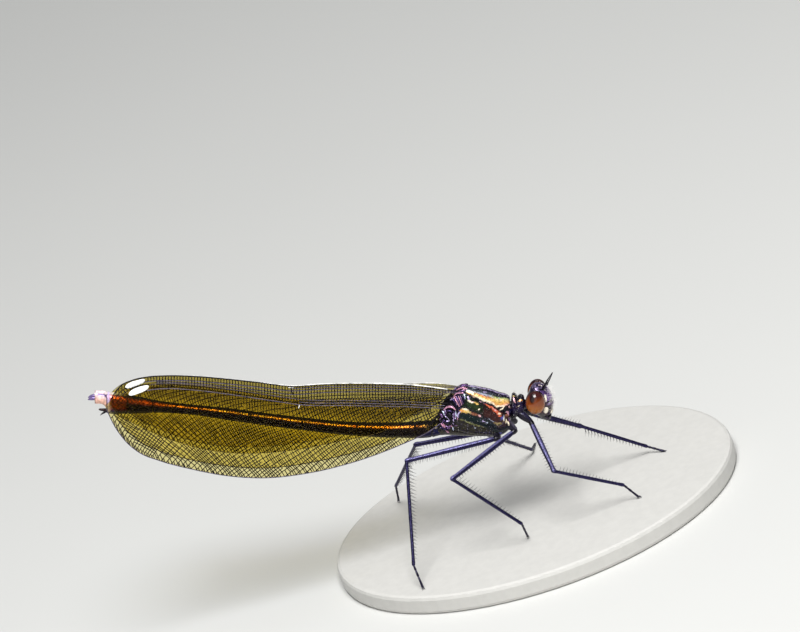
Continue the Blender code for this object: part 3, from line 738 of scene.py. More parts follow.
class ThoraxPaint:
    """The colour of every place on the thorax, with how metallic it is."""

    def __init__(self, body):
        self.black = metal(body.black, 0.4)
        self.green = metal(body.green, 0.9)
        self.gold = metal(body.gold, 0.45)
        self.copper = metal((0.80, 0.17, 0.075), 0.45)
        self.cream = metal(body.cream, 0.1)
        self.violet = metal(body.violet, 0.6)
        self.indigo = metal((0.030, 0.018, 0.075), 0.8)
        # Silver is also the colour of painted glints on the thorax
        self.silver = metal((0.62, 0.68, 0.86), 0.45)
        self.lime = metal((0.36, 0.50, 0.16), 0.45)
        self.yellow = metal((1.0, 0.76, 0.30), 0.3)
        self.orange = metal((0.92, 0.42, 0.12), 0.4)
        self.rose = metal((0.92, 0.52, 0.56), 0.2)
        self.lilac = metal((0.58, 0.47, 0.78), 0.3)
        self.pink = metal((0.62, 0.30, 0.42), 0.35)
        self.blue = metal((0.060, 0.055, 0.26), 0.5)
        self.slate = metal((0.10, 0.12, 0.14), 0.7)
        self.moss = metal((0.026, 0.046, 0.016), 0.6)
        self.teal = metal((0.009, 0.019, 0.020), 0.8)
        self.rust = metal((0.24, 0.085, 0.045), 0.4)
        self.maroon = metal((0.042, 0.012, 0.011), 0.6)
        self.tan = metal((0.34, 0.25, 0.10), 0.2)
        self.olive = metal((0.036, 0.032, 0.008), 0.5)
        self.shoulder_bands = [
            [(share, getattr(self, name)) for share, name in stops] for stops in self.SHOULDER_BANDS
        ]

    # The golden plate's colours from its upper to its lower rim: at its rear, middle, front and nose
    # The silver near the upper rim is a painted glint, and the cream near the lower rim a painted highlight.
    SHOULDER_BANDS = (
        ((0.0, "silver"), (0.22, "cream"), (0.55, "yellow"), (0.80, "orange"), (1.0, "rust")),
        (
            (0.0, "slate"), (0.20, "silver"), (0.34, "rust"),
            (0.52, "orange"), (0.72, "yellow"), (0.84, "cream"),
        ),
        (
            (0.0, "teal"), (0.10, "lime"), (0.30, "yellow"),
            (0.58, "gold"), (0.82, "orange"), (0.93, "cream"),
        ),
        ((0.0, "lime"), (0.35, "yellow"), (0.70, "orange"), (1.0, "rose")),
    )
    # Its upper and lower rim: x, then the angle from the top of the back
    UPPER_RIM = ((-2.35, -1.4, -0.4, 0.7, 1.9), (20.5, 24.0, 26.0, 24.5, 18.5))
    LOWER_RIM = ((-2.35, -1.2, -0.2, 0.65, 1.3, 1.75, 1.95), (34.5, 43.6, 50.3, 55.5, 54.0, 47.0, 33.0))

    def shoulder(self, x, angle):
        """The golden plate between the dark back and the first seam, with a painted highlight as its pale
        lower rim.
        """
        upper = float(np.interp(x, *self.UPPER_RIM))
        lower = float(np.interp(x, *self.LOWER_RIM))
        t = (angle - upper) / (lower - upper)
        rear, middle, front, nose = (ramp(stops, t) for stops in self.shoulder_bands)
        stops = ((-2.0, rear), (-1.1, middle), (-0.2, middle), (0.5, front), (1.1, front), (1.7, nose))
        plate = ramp(stops, x)
        # Painted glints: silvery streaks near the plate's upper rim
        silver_glint = ease(3.2 * ripple(x * 8.0, angle * 0.30, 11.0) - 0.8) * ease(1.4 - t * 2)
        plate = mixed(plate, self.silver, 0.8 * silver_glint)
        shadow = ease(2.6 * ripple(x * 6.0 + angle * 0.10, angle * 0.25, 17.0) - 0.5)
        plate = mixed(plate, self.rust, 0.75 * shadow * ease(3 - 3.4 * t))
        inside = ease(t * 9 + 0.5) * ease((1.03 - t) * 12) * ease((x + 2.45) * 4) * ease((1.98 - x) * 6)
        back = mixed(self.black, self.indigo, hump(angle - 12, 5.0))
        back = mixed(back, self.slate, hump(angle - 19, 3.5) * ease((0.9 - x) * 2) * 0.9)
        return mixed(back, plate, inside)

    # Marks on the plates: x, angle, half length and half width of the oval, its slant, and its colour
    MARKS = (
        # The first two marks are painted glints on the dark back
        (-1.65, 11.0, 0.30, 0.09, 4, "silver"),
        (-0.50, 20.0, 0.24, 0.06, -14, "lilac"),
        (-2.16, 48.5, 0.26, 0.09, 72, "lilac"),
        (-1.85, 56.0, 0.42, 0.11, 8, "cream"),
        (-1.72, 54.8, 0.22, 0.05, 8, "rose"),
        (-1.36, 57.8, 0.24, 0.08, 14, "gold"),
        (-1.60, 64.0, 0.80, 0.24, 6, "moss"),
        # A painted glint: a small white dot
        (-1.15, 69.0, 0.07, 0.07, 0, "cream"),
        (-0.95, 51.0, 0.16, 0.07, 20, "pink"),
        (-0.52, 54.6, 0.20, 0.06, 20, "violet"),
        (0.10, 84.0, 0.95, 0.34, 16, "maroon"),
        (0.15, 74.0, 0.90, 0.30, 16, "maroon"),
        (0.10, 61.0, 0.72, 0.09, 20, "copper"),
        (0.62, 68.5, 0.46, 0.19, 18, "copper"),
        (0.42, 65.0, 0.24, 0.05, 20, "rose"),
        (0.90, 71.2, 0.17, 0.09, 20, "cream"),
        (0.98, 77.5, 0.16, 0.12, 10, "copper"),
        (-2.58, 77.0, 0.52, 0.19, 8, "gold"),
        (-2.84, 76.0, 0.18, 0.14, 0, "orange"),
        (-2.52, 73.2, 0.34, 0.08, 10, "cream"),
        (-2.10, 79.0, 0.26, 0.10, 10, "yellow"),
        (-1.55, 81.6, 0.56, 0.12, 14, "rust"),
        (-1.05, 84.2, 0.15, 0.06, 22, "rose"),
        (-2.10, 92.0, 1.05, 0.28, 10, "teal"),
        (-0.62, 97.0, 0.16, 0.06, 30, "lilac"),
        (-0.30, 100.0, 0.10, 0.05, -20, "silver"),
        (0.06, 93.0, 0.34, 0.035, 27, "silver"),
        (0.76, 99.6, 0.42, 0.15, 6, "tan"),
        (0.95, 101.0, 0.16, 0.07, 6, "olive"),
        (-1.50, 117.0, 0.08, 0.06, 0, "silver"),
        # Painted glints: violet and lilac, low on the side
        (1.00, 138.0, 0.26, 0.18, 60, "blue"),
        (0.90, 134.0, 0.10, 0.06, 60, "lilac"),
        (1.16, 61.2, 0.24, 0.055, -25, "cream"),
        (1.68, 69.5, 0.17, 0.11, 10, "rose"),
        (1.62, 79.5, 0.20, 0.18, 20, "rust"),
        (1.20, 86.0, 0.13, 0.22, 0, "blue"),
        # Painted glint: a white streak beside the blue plate
        (1.36, 87.0, 0.05, 0.26, 0, "cream"),
        (1.56, 96.0, 0.08, 0.20, 10, "tan"),
        (1.95, 50.0, 0.09, 0.15, 0, "rose"),
        (1.96, 66.0, 0.10, 0.32, 0, "blue"),
    )

    # The same on the neck and pronotum, then how strong each is
    FRONT_MARKS = (
        (2.42, 46, 0.08, 0.50, -10, "rose", 1.0),
        (2.31, 24, 0.13, 0.17, 0, "yellow", 1.0),
        (2.31, 24, 0.05, 0.06, 0, "gold", 0.8),
        (3.02, 42, 0.26, 0.20, 0, "orange", 1.0),
        (3.00, 41, 0.13, 0.09, 0, "yellow", 1.0),
        # Painted highlight on top of the pronotum
        (3.12, 12, 0.20, 0.12, 0, "slate", 0.9),
        (2.66, 74, 0.14, 0.24, 0, "maroon", 0.8),
        (2.84, 69, 0.09, 0.15, 0, "cream", 0.9),
    )

    def pronotum(self, x, angle):
        """The dark neck and pronotum with their marks."""
        colour = mixed(self.black, self.indigo, 0.7 * hump(angle - 75, 30))
        for mark in self.FRONT_MARKS:
            colour = mixed(colour, getattr(self, mark[5]), mark[6] * blotch(x, angle, mark))
        return colour

    def plates(self, x, angle):
        """The dark metal of the side, before the bright marks: mottled, and greener towards the rear."""
        cloud = 0.5 + 0.5 * ripple(x * 3.4, angle * 0.13, 12.0)
        if angle < seam_angle(MIDDLE_SEAM, x):
            upper = mixed(self.green, self.maroon, ease((x + 1.2) * 0.7))
            return mixed(self.black, upper, ease(cloud * 1.6 - 0.25))
        if angle < seam_angle(REAR_SEAM, x):
            return mixed(self.black, self.teal, ease(cloud * 1.6 - 0.2))
        lower = mixed(self.olive, self.black, ease((angle - 146) / 14))
        return mixed(self.black, lower, ease(cloud * 1.8 - 0.45) * ease((1.3 - x) * 2))

    def flecks(self, x, angle, colour):
        """Small glints scattered over the lower side."""
        fleck = ease(5.0 * ripple(x * 9.0, angle * 0.34, 31.0) - 1.9)
        other = ease(5.0 * ripple(x * 7.0, angle * 0.30, 47.0) - 2.0)
        cool = mixed(self.slate, self.lilac, 0.6)
        colour = mixed(colour, cool, 0.36 * fleck * ease((angle - 62) / 12))
        return mixed(colour, self.tan, 0.32 * other * ease((angle - 96) / 10))

    def __call__(self, x, angle):
        wave = 0.10 * ripple(x * 1.7, angle * 0.05, 7.0)
        x += wave + 0.05 * ripple(x * 6.0, angle * 0.2, 2.0)
        coarse = 2.4 * ripple(x * 2.0, angle * 0.06, 5.0)
        angle += coarse + 2.0 * ripple(x * 8.0, angle * 0.2, 9.0)
        if x > NECK_END:
            return self.pronotum(x, angle)
        if angle < seam_angle(SHOULDER_SEAM, x):
            colour = self.shoulder(x, angle)
        else:
            colour = self.flecks(x, angle, self.plates(x, angle))
        for line, width in ((SHOULDER_SEAM, 0.13), (MIDDLE_SEAM, 0.10)):
            colour = mixed(colour, self.black, near_seam(x, angle, line, width))
        rear = near_seam(x, angle, REAR_SEAM, 0.035) * ease((-0.4 - x) * 2) * ease((x + 3.2) * 2)
        colour = mixed(colour, mixed(self.tan, self.lime, 0.4), 0.8 * rear)
        if x > -3.2:
            for mark in self.MARKS:
                colour = mixed(colour, getattr(self, mark[5]), blotch(x, angle, mark))
        # Painted highlight: a lilac line along the ridge of the back
        ridge = hump(angle - 1.0, 2.2) * ease((x + 2.4) * 2) * ease((2.1 - x) * 4)
        colour = mixed(colour, self.lilac, ridge * 0.9)
        # Painted shade: the pit in front of each middle leg is painted black as well as sunk
        pit = hump(x - PIT, PIT_SIZE) * hump(angle - 65, 6.0)
        return mixed(colour, self.black, max(pit, ease((-2.95 - x) * 2.2) * 0.9 * ease((118 - angle) / 20)))


def thorax_point(x, angle, sign, lift):
    """A place over the thorax, lift millimetres above it."""
    middle, high, wide = ring_at(THORAX, x)
    turn = math.radians(angle)
    return Vector((x, sign * (wide + lift) * math.sin(turn), middle + (high + lift) * math.cos(turn)))


# Folds at the wing roots: a path of x and angle, then how far out it stands, its radius and its colour
WING_FOLDS = (
    (((-3.20, 2), (-2.90, 3), (-2.55, 2), (-2.20, 1)), 0.05, 0.12, "violet"),
    (((-3.40, 9), (-3.05, 9), (-2.70, 7), (-2.30, 8)), 0.09, 0.08, "indigo"),
    (((-3.48, 15), (-3.15, 13), (-2.80, 15), (-2.40, 14)), 0.08, 0.08, "pink"),
    (((-3.55, 21), (-3.20, 18), (-2.85, 20), (-2.50, 20)), 0.08, 0.07, "black"),
    (((-3.62, 26), (-3.25, 23), (-2.88, 26), (-2.48, 27)), 0.09, 0.08, "violet"),
    (((-3.66, 31), (-3.32, 28), (-2.95, 32), (-2.62, 35)), 0.10, 0.07, "pink"),
    (((-3.76, 30), (-3.68, 40), (-3.52, 52), (-3.32, 66)), 0.10, 0.09, "indigo"),
    (((-3.60, 34), (-3.46, 45), (-3.26, 56), (-3.06, 66)), 0.14, 0.07, "pink"),
    (((-3.42, 35), (-3.26, 46), (-3.10, 56), (-2.94, 65)), 0.14, 0.07, "violet"),
    (((-3.22, 37), (-3.06, 47), (-2.93, 56), (-2.82, 64)), 0.13, 0.06, "pink"),
    (((-3.02, 40), (-2.88, 49), (-2.78, 57), (-2.70, 62)), 0.10, 0.06, "violet"),
    (((-2.84, 38), (-2.72, 46), (-2.64, 54), (-2.60, 59)), 0.07, 0.07, "indigo"),
    (((-2.62, 34), (-2.54, 42), (-2.50, 50)), 0.05, 0.07, "silver"),
    (((-4.62, 47), (-4.20, 52), (-3.82, 59), (-3.44, 71)), 0.22, 0.12, "pink"),
    (((-4.60, 40), (-4.25, 44), (-3.95, 48), (-3.75, 56)), 0.20, 0.09, "black"),
    (((-5.00, 46), (-4.86, 56), (-4.76, 68)), 0.20, 0.14, "violet"),
    (((-4.80, 44), (-4.66, 54), (-4.58, 66)), 0.20, 0.09, "silver"),
    (((-4.42, 58), (-4.12, 64), (-3.75, 72)), 0.16, 0.11, "indigo"),
    (((-4.36, 68), (-4.05, 74), (-3.72, 82)), 0.12, 0.13, "black"),
    # Painted glint: a white upright streak on the folds
    (((-3.46, 73), (-3.41, 81), (-3.43, 89)), 0.14, 0.07, "silver"),
    (((-3.62, 72), (-3.58, 82), (-3.60, 92)), 0.10, 0.08, "violet"),
    (((-4.56, 68), (-4.29, 80), (-4.03, 92)), 0.14, 0.030, "lilac"),
    (((-4.72, 76), (-4.47, 88), (-4.22, 99)), 0.10, 0.12, "indigo"),
    (((-4.92, 84), (-4.76, 95), (-4.62, 105)), 0.08, 0.08, "pink"),
    (((-3.98, 84), (-3.78, 94), (-3.62, 103)), 0.06, 0.11, "black"),
    (((-4.50, 104), (-4.22, 110), (-3.95, 113)), 0.05, 0.09, "violet"),
    (((-4.42, 122), (-4.25, 130), (-4.08, 137)), 0.04, 0.08, "pink"),
    (((-3.74, 112), (-3.70, 119), (-3.64, 126)), 0.06, 0.07, "silver"),
    (((-4.66, 112), (-4.40, 118), (-4.15, 122)), 0.05, 0.10, "indigo"),
)
# Small plates between the side of the thorax and the middle legs, in the same form
FRONT_PLATES = (
    (((1.24, 60), (1.36, 54), (1.52, 50)), 0.02, 0.05, "cream"),
    # Painted glint: the white streak beside the blue plate, raised as a strip
    (((1.38, 76), (1.36, 84), (1.40, 94)), 0.03, 0.04, "silver"),
    (((1.60, 88), (1.62, 96), (1.56, 104)), 0.04, 0.045, "cream"),
    (((1.62, 66), (1.78, 72), (1.86, 80)), 0.03, 0.08, "pink"),
    (((1.88, 60), (1.93, 68), (1.94, 78)), 0.03, 0.06, "indigo"),
    (((1.62, 80), (1.72, 86), (1.80, 93)), 0.02, 0.07, "maroon"),
    (((1.76, 98), (1.84, 108), (1.90, 120)), 0.06, 0.10, "cream"),
    (((1.86, 88), (1.92, 98), (1.96, 108)), 0.04, 0.08, "violet"),
)


class DAMSELFLY_OT_thorax(bpy.types.Operator):
    """Builds the skin of the neck and thorax, with its seams and metallic plates"""

    bl_idname = "damselfly.thorax"
    bl_label = "Thorax"

    def execute(self, context):
        body = context.scene.damselfly_body
        paint = ThoraxPaint(body)
        bm = oval_skin(dense_stations(THORAX, THORAX_STEP), THORAX_SIDES, thorax_depth(body), paint)
        finish = painted_finish("thorax_cuticle", 0.20, uneven=0.45, bump=0.35, coat=0.05, shine=0.35)
        add_piece("thorax_skin", bm, POSE, finish, ("synthorax", "prothorax", "neck"))
        for name, folds in (("wing_root_folds", WING_FOLDS), ("front_plates", FRONT_PLATES)):
            bm = bmesh.new()
            for sign in SIDES.values():
                for path, lift, radius, colour in folds:
                    self.fold(bm, path, sign, lift, radius, paint, colour)
                if folds is WING_FOLDS:
                    self.crumple(bm, sign, paint)
            add_piece(name, bm, POSE, finish, ())
        return {"FINISHED"}

    def fold(self, bm, path, sign, lift, radius, paint, colour):
        """One narrow ridge, thin at its ends."""
        keys = np.linspace(0, 1, len(path))
        ways = np.linspace(0, 1, 12)
        places = smooth_through(keys, path, ways)
        points = [thorax_point(x, angle, sign, lift) for x, angle in places]
        radii = [radius * (0.25 + 0.75 * math.sin(math.pi * (0.06 + 0.88 * way))) for way in ways]
        add_rod(bm, points, radii, 10, getattr(paint, colour))

    def crumple(self, bm, sign, paint):
        """Many small creases under the larger folds, where the wings join."""
        chance = random.Random("creases")
        kinds = ("black",) * 5 + ("indigo", "indigo", "violet", "violet", "pink", "lilac")
        for _ in range(CREASES):
            angle = chance.uniform(0, 116)
            front = float(np.interp(angle, (0, 30, 60, 116), (-2.3, -2.5, -2.75, -3.55)))
            rear = float(np.interp(angle, (0, 25, 45, 116), (-3.5, -3.9, -4.9, -5.0)))
            x = chance.uniform(rear, front)
            usual = float(np.interp(angle, (0, 30, 50, 116), (5, 20, 80, 60)))
            turn = math.radians(usual + chance.gauss(0, 28))
            reach = chance.uniform(0.16, 0.34)
            bow = chance.uniform(-0.12, 0.12)
            step = Vector((math.cos(turn), math.sin(turn)))
            path = []
            for share in (-1.0, -0.35, 0.35, 1.0):
                spot = step * (reach * share) + Vector((-step.y, step.x)) * (bow * (1 - share * share))
                path.append((x + spot.x, max(0.0, angle + spot.y * 25)))
            lift = chance.uniform(-0.02, 0.07)
            radius = chance.uniform(0.045, 0.10)
            self.fold(bm, path, sign, lift, radius, paint, chance.choice(kinds))


# Abdomen

# Distance between the rings of the skin, and near the joints, which is up to JOINT_REACH from them
RING_STEP = 0.22
JOINT_STEP = 0.035
JOINT_REACH = 0.3
# Angle from the top of the back at which the painted highlight line runs, where the key light's reflection
# falls
HIGHLIGHT_LINE_ANGLE = 44.0
# Where the pale last segments begin, and the tail end behind the last joint
PALE_START = -35.9
TAIL_END = -38.34


def abdomen_stations():
    """Rings along the abdomen, close together at its joints, with the tail end drawn in."""
    front, rear = ABDOMEN_ENDS
    xs = set(np.round(np.arange(rear, front, RING_STEP), 3))
    for joint in (*SEGMENT_ENDS, rear + 0.2):
        xs |= set(np.round(np.arange(joint - JOINT_REACH, joint + JOINT_REACH, JOINT_STEP), 3))
    xs = [x for x in sorted(xs, reverse=True) if rear <= x <= front]
    rows = [(x, abdomen_line(x), abdomen_height(x), abdomen_width(x)) for x in xs]
    first, last = rows[0], rows[-1]
    rows.insert(0, (first[0] + 0.02, first[1], 0.0, 0.0))
    for inward, share in ((0.0, 0.86), (0.14, 0.70), (0.22, 0.40), (0.20, 0.0)):
        rows.append((last[0] + inward, last[1], last[2] * share, last[3] * share))
    return rows


def abdomen_depth(body):
    """Rings sunk at the joints, a keel along the back and an edge along each side."""
    groove = body.joint_depth / MM

    def depth(x, angle):
        nearest = min(SEGMENT_ENDS, key=lambda joint: abs(x - joint))
        ahead = x - nearest
        sunk = groove * hump(ahead, 0.06) - 0.02 * hump(ahead - 0.14, 0.09)
        keel = 0.035 * (1 - hump(angle, 7.0)) * hump(angle, 40.0)
        lower_edge = 0.03 * hump(angle - 128, 5.0)
        return sunk + keel + lower_edge + 0.02

    return depth


def abdomen_colour(body):
    """The abdomen's paint: dark, with a painted highlight line along each side and pale last segments."""
    navy = metal(body.navy, 0.6)
    black = metal(body.black, 0.3)
    teal = metal((0.006, 0.014, 0.018), 0.8)
    copper = metal((1.0, 0.30, 0.11), 0.8)
    gold = metal((1.0, 0.84, 0.56), 0.8)
    red = metal((1.0, 0.15, 0.10), 0.25)
    blue = metal((0.006, 0.008, 0.40), 0.5)
    bloom = metal(body.bloom, 0.0)
    cream = metal((1.0, 0.88, 0.70), 0.0)
    pink = metal((0.80, 0.46, 0.36), 0.0)
    purple = metal((0.06, 0.03, 0.15), 0.3)
    rust = metal((0.27, 0.045, 0.055), 0.4)
    lilac = metal((0.62, 0.50, 0.78), 0.1)

    def colour_at(x, angle):
        # Painted highlight: a copper line along each side with a gold core, turning red towards the tail
        off = abs(angle - HIGHLIGHT_LINE_ANGLE)
        patch = 0.5 + 0.5 * ripple(x * 1.3, angle * 0.02, 3.0)
        warm = ramp(((-33.0, 0.1), (-29.0, 0.25), (-26.0, 1.0), (-16.0, 0.8), (-9.0, 0.3)), x)
        painted_highlight = mixed(copper, gold, warm * ease(patch * 2.4 - 0.45) * hump(off, 8.5))
        painted_highlight = mixed(painted_highlight, red, 0.8 * ease((-31.5 - x) / 2.5))
        colour = mixed(teal, mixed(navy, blue, ease((-11.0 - x) / 5)), ease((angle - 40) / 30))
        colour = mixed(colour, black, ease((angle - 105) / 40))
        # broad and shine spread the painted highlight round the body and vary its strength along it
        broad = 8.8 + 3.0 * ripple(x * 2.2, 0.0, 5.0) + 6.5 * ease((-30.5 - x) / 3)
        shine = hump(off, broad) * (0.80 + 0.5 * ripple(x * 3.1, angle * 0.05, 8.0))
        colour = mixed(colour, painted_highlight, min(1.0, 1.5 * shine) * ease((x + 38.6) * 2) * ease((-5.5 - x) / 4.5))
        tail = ease((PALE_START - x) / 0.9)
        mottle = 0.35 + 0.65 * ease(0.5 + 1.6 * ripple(x * 3.0, angle * 0.07, 13.0))
        colour = mixed(colour, rust, tail * ease(1.7 - abs(angle - 84) / 26) * mottle)
        near = min(abs(x - joint) for joint in SEGMENT_ENDS)
        colour = mixed(colour, black, hump(near, 0.10) * 0.9)
        if x < PALE_START:
            top = ease((26 - angle) / 9) * (0.75 + 0.4 * ripple(x * 5.0, angle * 0.1, 2.0))
            colour = mixed(colour, cream, top * ease((-36.1 - x) * 1.6))
        colour = mixed(colour, lilac, hump(x + 38.12, 0.14))
        if x < TAIL_END:
            colour = mixed(bloom, pink, ease((angle - 40) / 60))
            band = hump(angle - HIGHLIGHT_LINE_ANGLE, 12.0) * ease((x + 39.45) * 6)
            colour = mixed(colour, purple, band)
            colour = mixed(colour, black, ease((angle - 140) / 20))
        if x < -39.42:
            colour = mixed(colour, black, 0.5)
        if x > -6.6:
            fleck = ease(5.0 * ripple(x * 6.0, angle * 0.13, 40.0) - 0.9)
            colour = mixed(colour, cream, 0.6 * fleck * hump(angle - 60, 24.0))
        return colour

    return colour_at


class DAMSELFLY_OT_abdomen(bpy.types.Operator):
    """Builds the skin of the ten abdomen segments, and the tail parts"""

    bl_idname = "damselfly.abdomen"
    bl_label = "Abdomen"

    def execute(self, context):
        body = context.scene.damselfly_body
        bm = oval_skin(abdomen_stations(), 96, abdomen_depth(body), abdomen_colour(body))
        finish = painted_finish("abdomen_cuticle", 0.26, grain=4.0, coat=0.06, shine=0.28)
        nodes = [f"abdomen_{number}" for number in range(1, 11)]
        add_piece("abdomen_skin", bm, POSE, finish, nodes)
        self.tail(body, finish)
        return {"FINISHED"}

    def tail(self, body, finish):
        """The ovipositor's valves and their tips, and the two cerci."""
        black = metal(body.black, 0.3)
        purple = metal((0.17, 0.12, 0.28), 0.3)
        rust = metal((0.030, 0.012, 0.012), 0.5)

        def slit(x, angle):
            return 0.05 * hump(angle - 180, 9.0)

        def colour(x, angle):
            return mixed(rust, black, ease((angle - 60) / 40))

        blade = oval_skin(dense_stations(OVIPOSITOR, 0.06), 40, slit, colour)
        for sign in SIDES.values():
            path = ((-38.45, 0.10 * sign, -0.20), (-38.75, 0.12 * sign, -0.36), (-39.00, 0.13 * sign, -0.58))
            add_rod(blade, path, (0.07, 0.045, 0.012), 8, black)
        add_piece("ovipositor_valves", blade, POSE, finish, ("ovipositor",))
        for side, sign in SIDES.items():
            bm = bmesh.new()
            path = [(-39.36, 0.28 * sign, 1.46), (-39.60, 0.30 * sign, 1.42), (-39.85, 0.30 * sign, 1.37)]
            path += [(-40.05, 0.28 * sign, 1.31), (-40.20, 0.25 * sign, 1.25)]
            add_rod(bm, path, (0.15, 0.20, 0.17, 0.11, 0.02), 20, purple)
            add_piece("cercus_" + side + "_skin", bm, POSE, finish, ("cercus_" + side,))


# Head

HEAD_STEP = 0.03
HEAD_SIDES = 200
# Heights of the lower edge of the dome, and of the brow below it
DOME = 2.60
BROW = 1.42


def head_depth(height, angle):
    """Sockets, grooves and the steps between the dome of the head, its brow and its shield."""
    front = ease((78 - angle) / 16)
    sunk = 0.09 * hump(height - DOME, 0.055) * front
    sunk += 0.07 * hump(height - BROW, 0.05) * ease((56 - angle) / 12)
    sunk += 0.06 * hump(height - 0.66, 0.05) * ease((56 - angle) / 12)
    sunk += 0.16 * hump(angle - 64, 5.0) * hump(height - 1.5, 0.8)
    sunk += 0.12 * hump(angle - 40, 9.0) * hump(height - 2.45, 0.13)
    sunk -= 0.09 * hump(angle, 30.0) * hump(height - 1.90, 0.36)
    sunk -= 0.12 * hump(angle, 26.0) * hump(height - 1.02, 0.26)
    sunk -= 0.05 * hump(angle - 56, 7.0) * hump(height - 1.85, 0.3)
    fine = ripple(height * 9.0, angle * 0.16, 0.0)
    sunk += (0.03 if height > 2.5 else 0.014) * fine
    return sunk + 0.02


def oval_mark(angle, height, middle, half):
    """1 inside a soft-edged oval on the head, with its middle and half size as an angle and a height."""
    return ease(2.2 - 1.8 * math.hypot((angle - middle[0]) / half[0], (height - middle[1]) / half[1]))


class HeadPaint:
    """The colour of every place on the head, with how metallic it is."""

    def __init__(self, head, body):
        self.bronze = metal(head.bronze, 0.7)
        self.lavender = metal(head.lavender, 0.7)
        self.black = metal(body.black, 0.3)
        self.violet = metal((0.15, 0.065, 0.28), 0.8)
        self.maroon = metal((0.050, 0.008, 0.022), 0.5)
        self.cream = metal(head.cream, 0.0)

    def __call__(self, height, angle):
        wave = 0.5 + 0.5 * ripple(height * 4.0, angle * 0.09, 1.0)
        streak = 0.5 + 0.5 * ripple(height * 11.0, angle * 0.25, 6.0)
        height += 0.04 * ripple(height * 5.0, angle * 0.08, 8.0)
        if height > DOME:
            wrinkle = 0.8 * ease(wave * 2.6 - 0.9) + 0.2 * ease(streak * 3 - 1.6)
            colour = mixed(self.bronze, self.lavender, wrinkle)
            colour = mixed(colour, self.cream, oval_mark(angle, height, (34, 2.84), (9.0, 0.05)))
        elif height > BROW:
            colour = mixed(self.violet, self.lavender, 0.5 * ease(streak * 2.6 - 1.3))
            colour = mixed(colour, self.cream, 0.8 * oval_mark(angle, height, (33, 2.50), (4.0, 0.10)))
            colour = mixed(colour, self.bronze, ease((angle - 66) / 16))
        else:
            colour = mixed(self.maroon, self.black, ease(wave * 1.5 - 0.2))
            colour = mixed(colour, self.violet, 0.6 * hump(angle, 30) * hump(height - 1.05, 0.22))
            # Painted highlight: lavender on the lower face
            colour = mixed(colour, self.lavender, 0.8 * hump(angle - 38, 9) * hump(height - 1.18, 0.09))
        colour = mixed(colour, self.black, hump(height - DOME, 0.08) * ease((85 - angle) / 20))
        # Painted highlight: a cream crescent between the eye and the face
        colour = mixed(colour, self.cream, oval_mark(angle, height, (52, 1.86), (7.0, 0.38)))
        colour = mixed(colour, self.black, hump(height - BROW, 0.06) * ease((60 - angle) / 15))
        return mixed(colour, self.black, ease((angle - 84) / 30) * ease((2.5 - height) * 2))


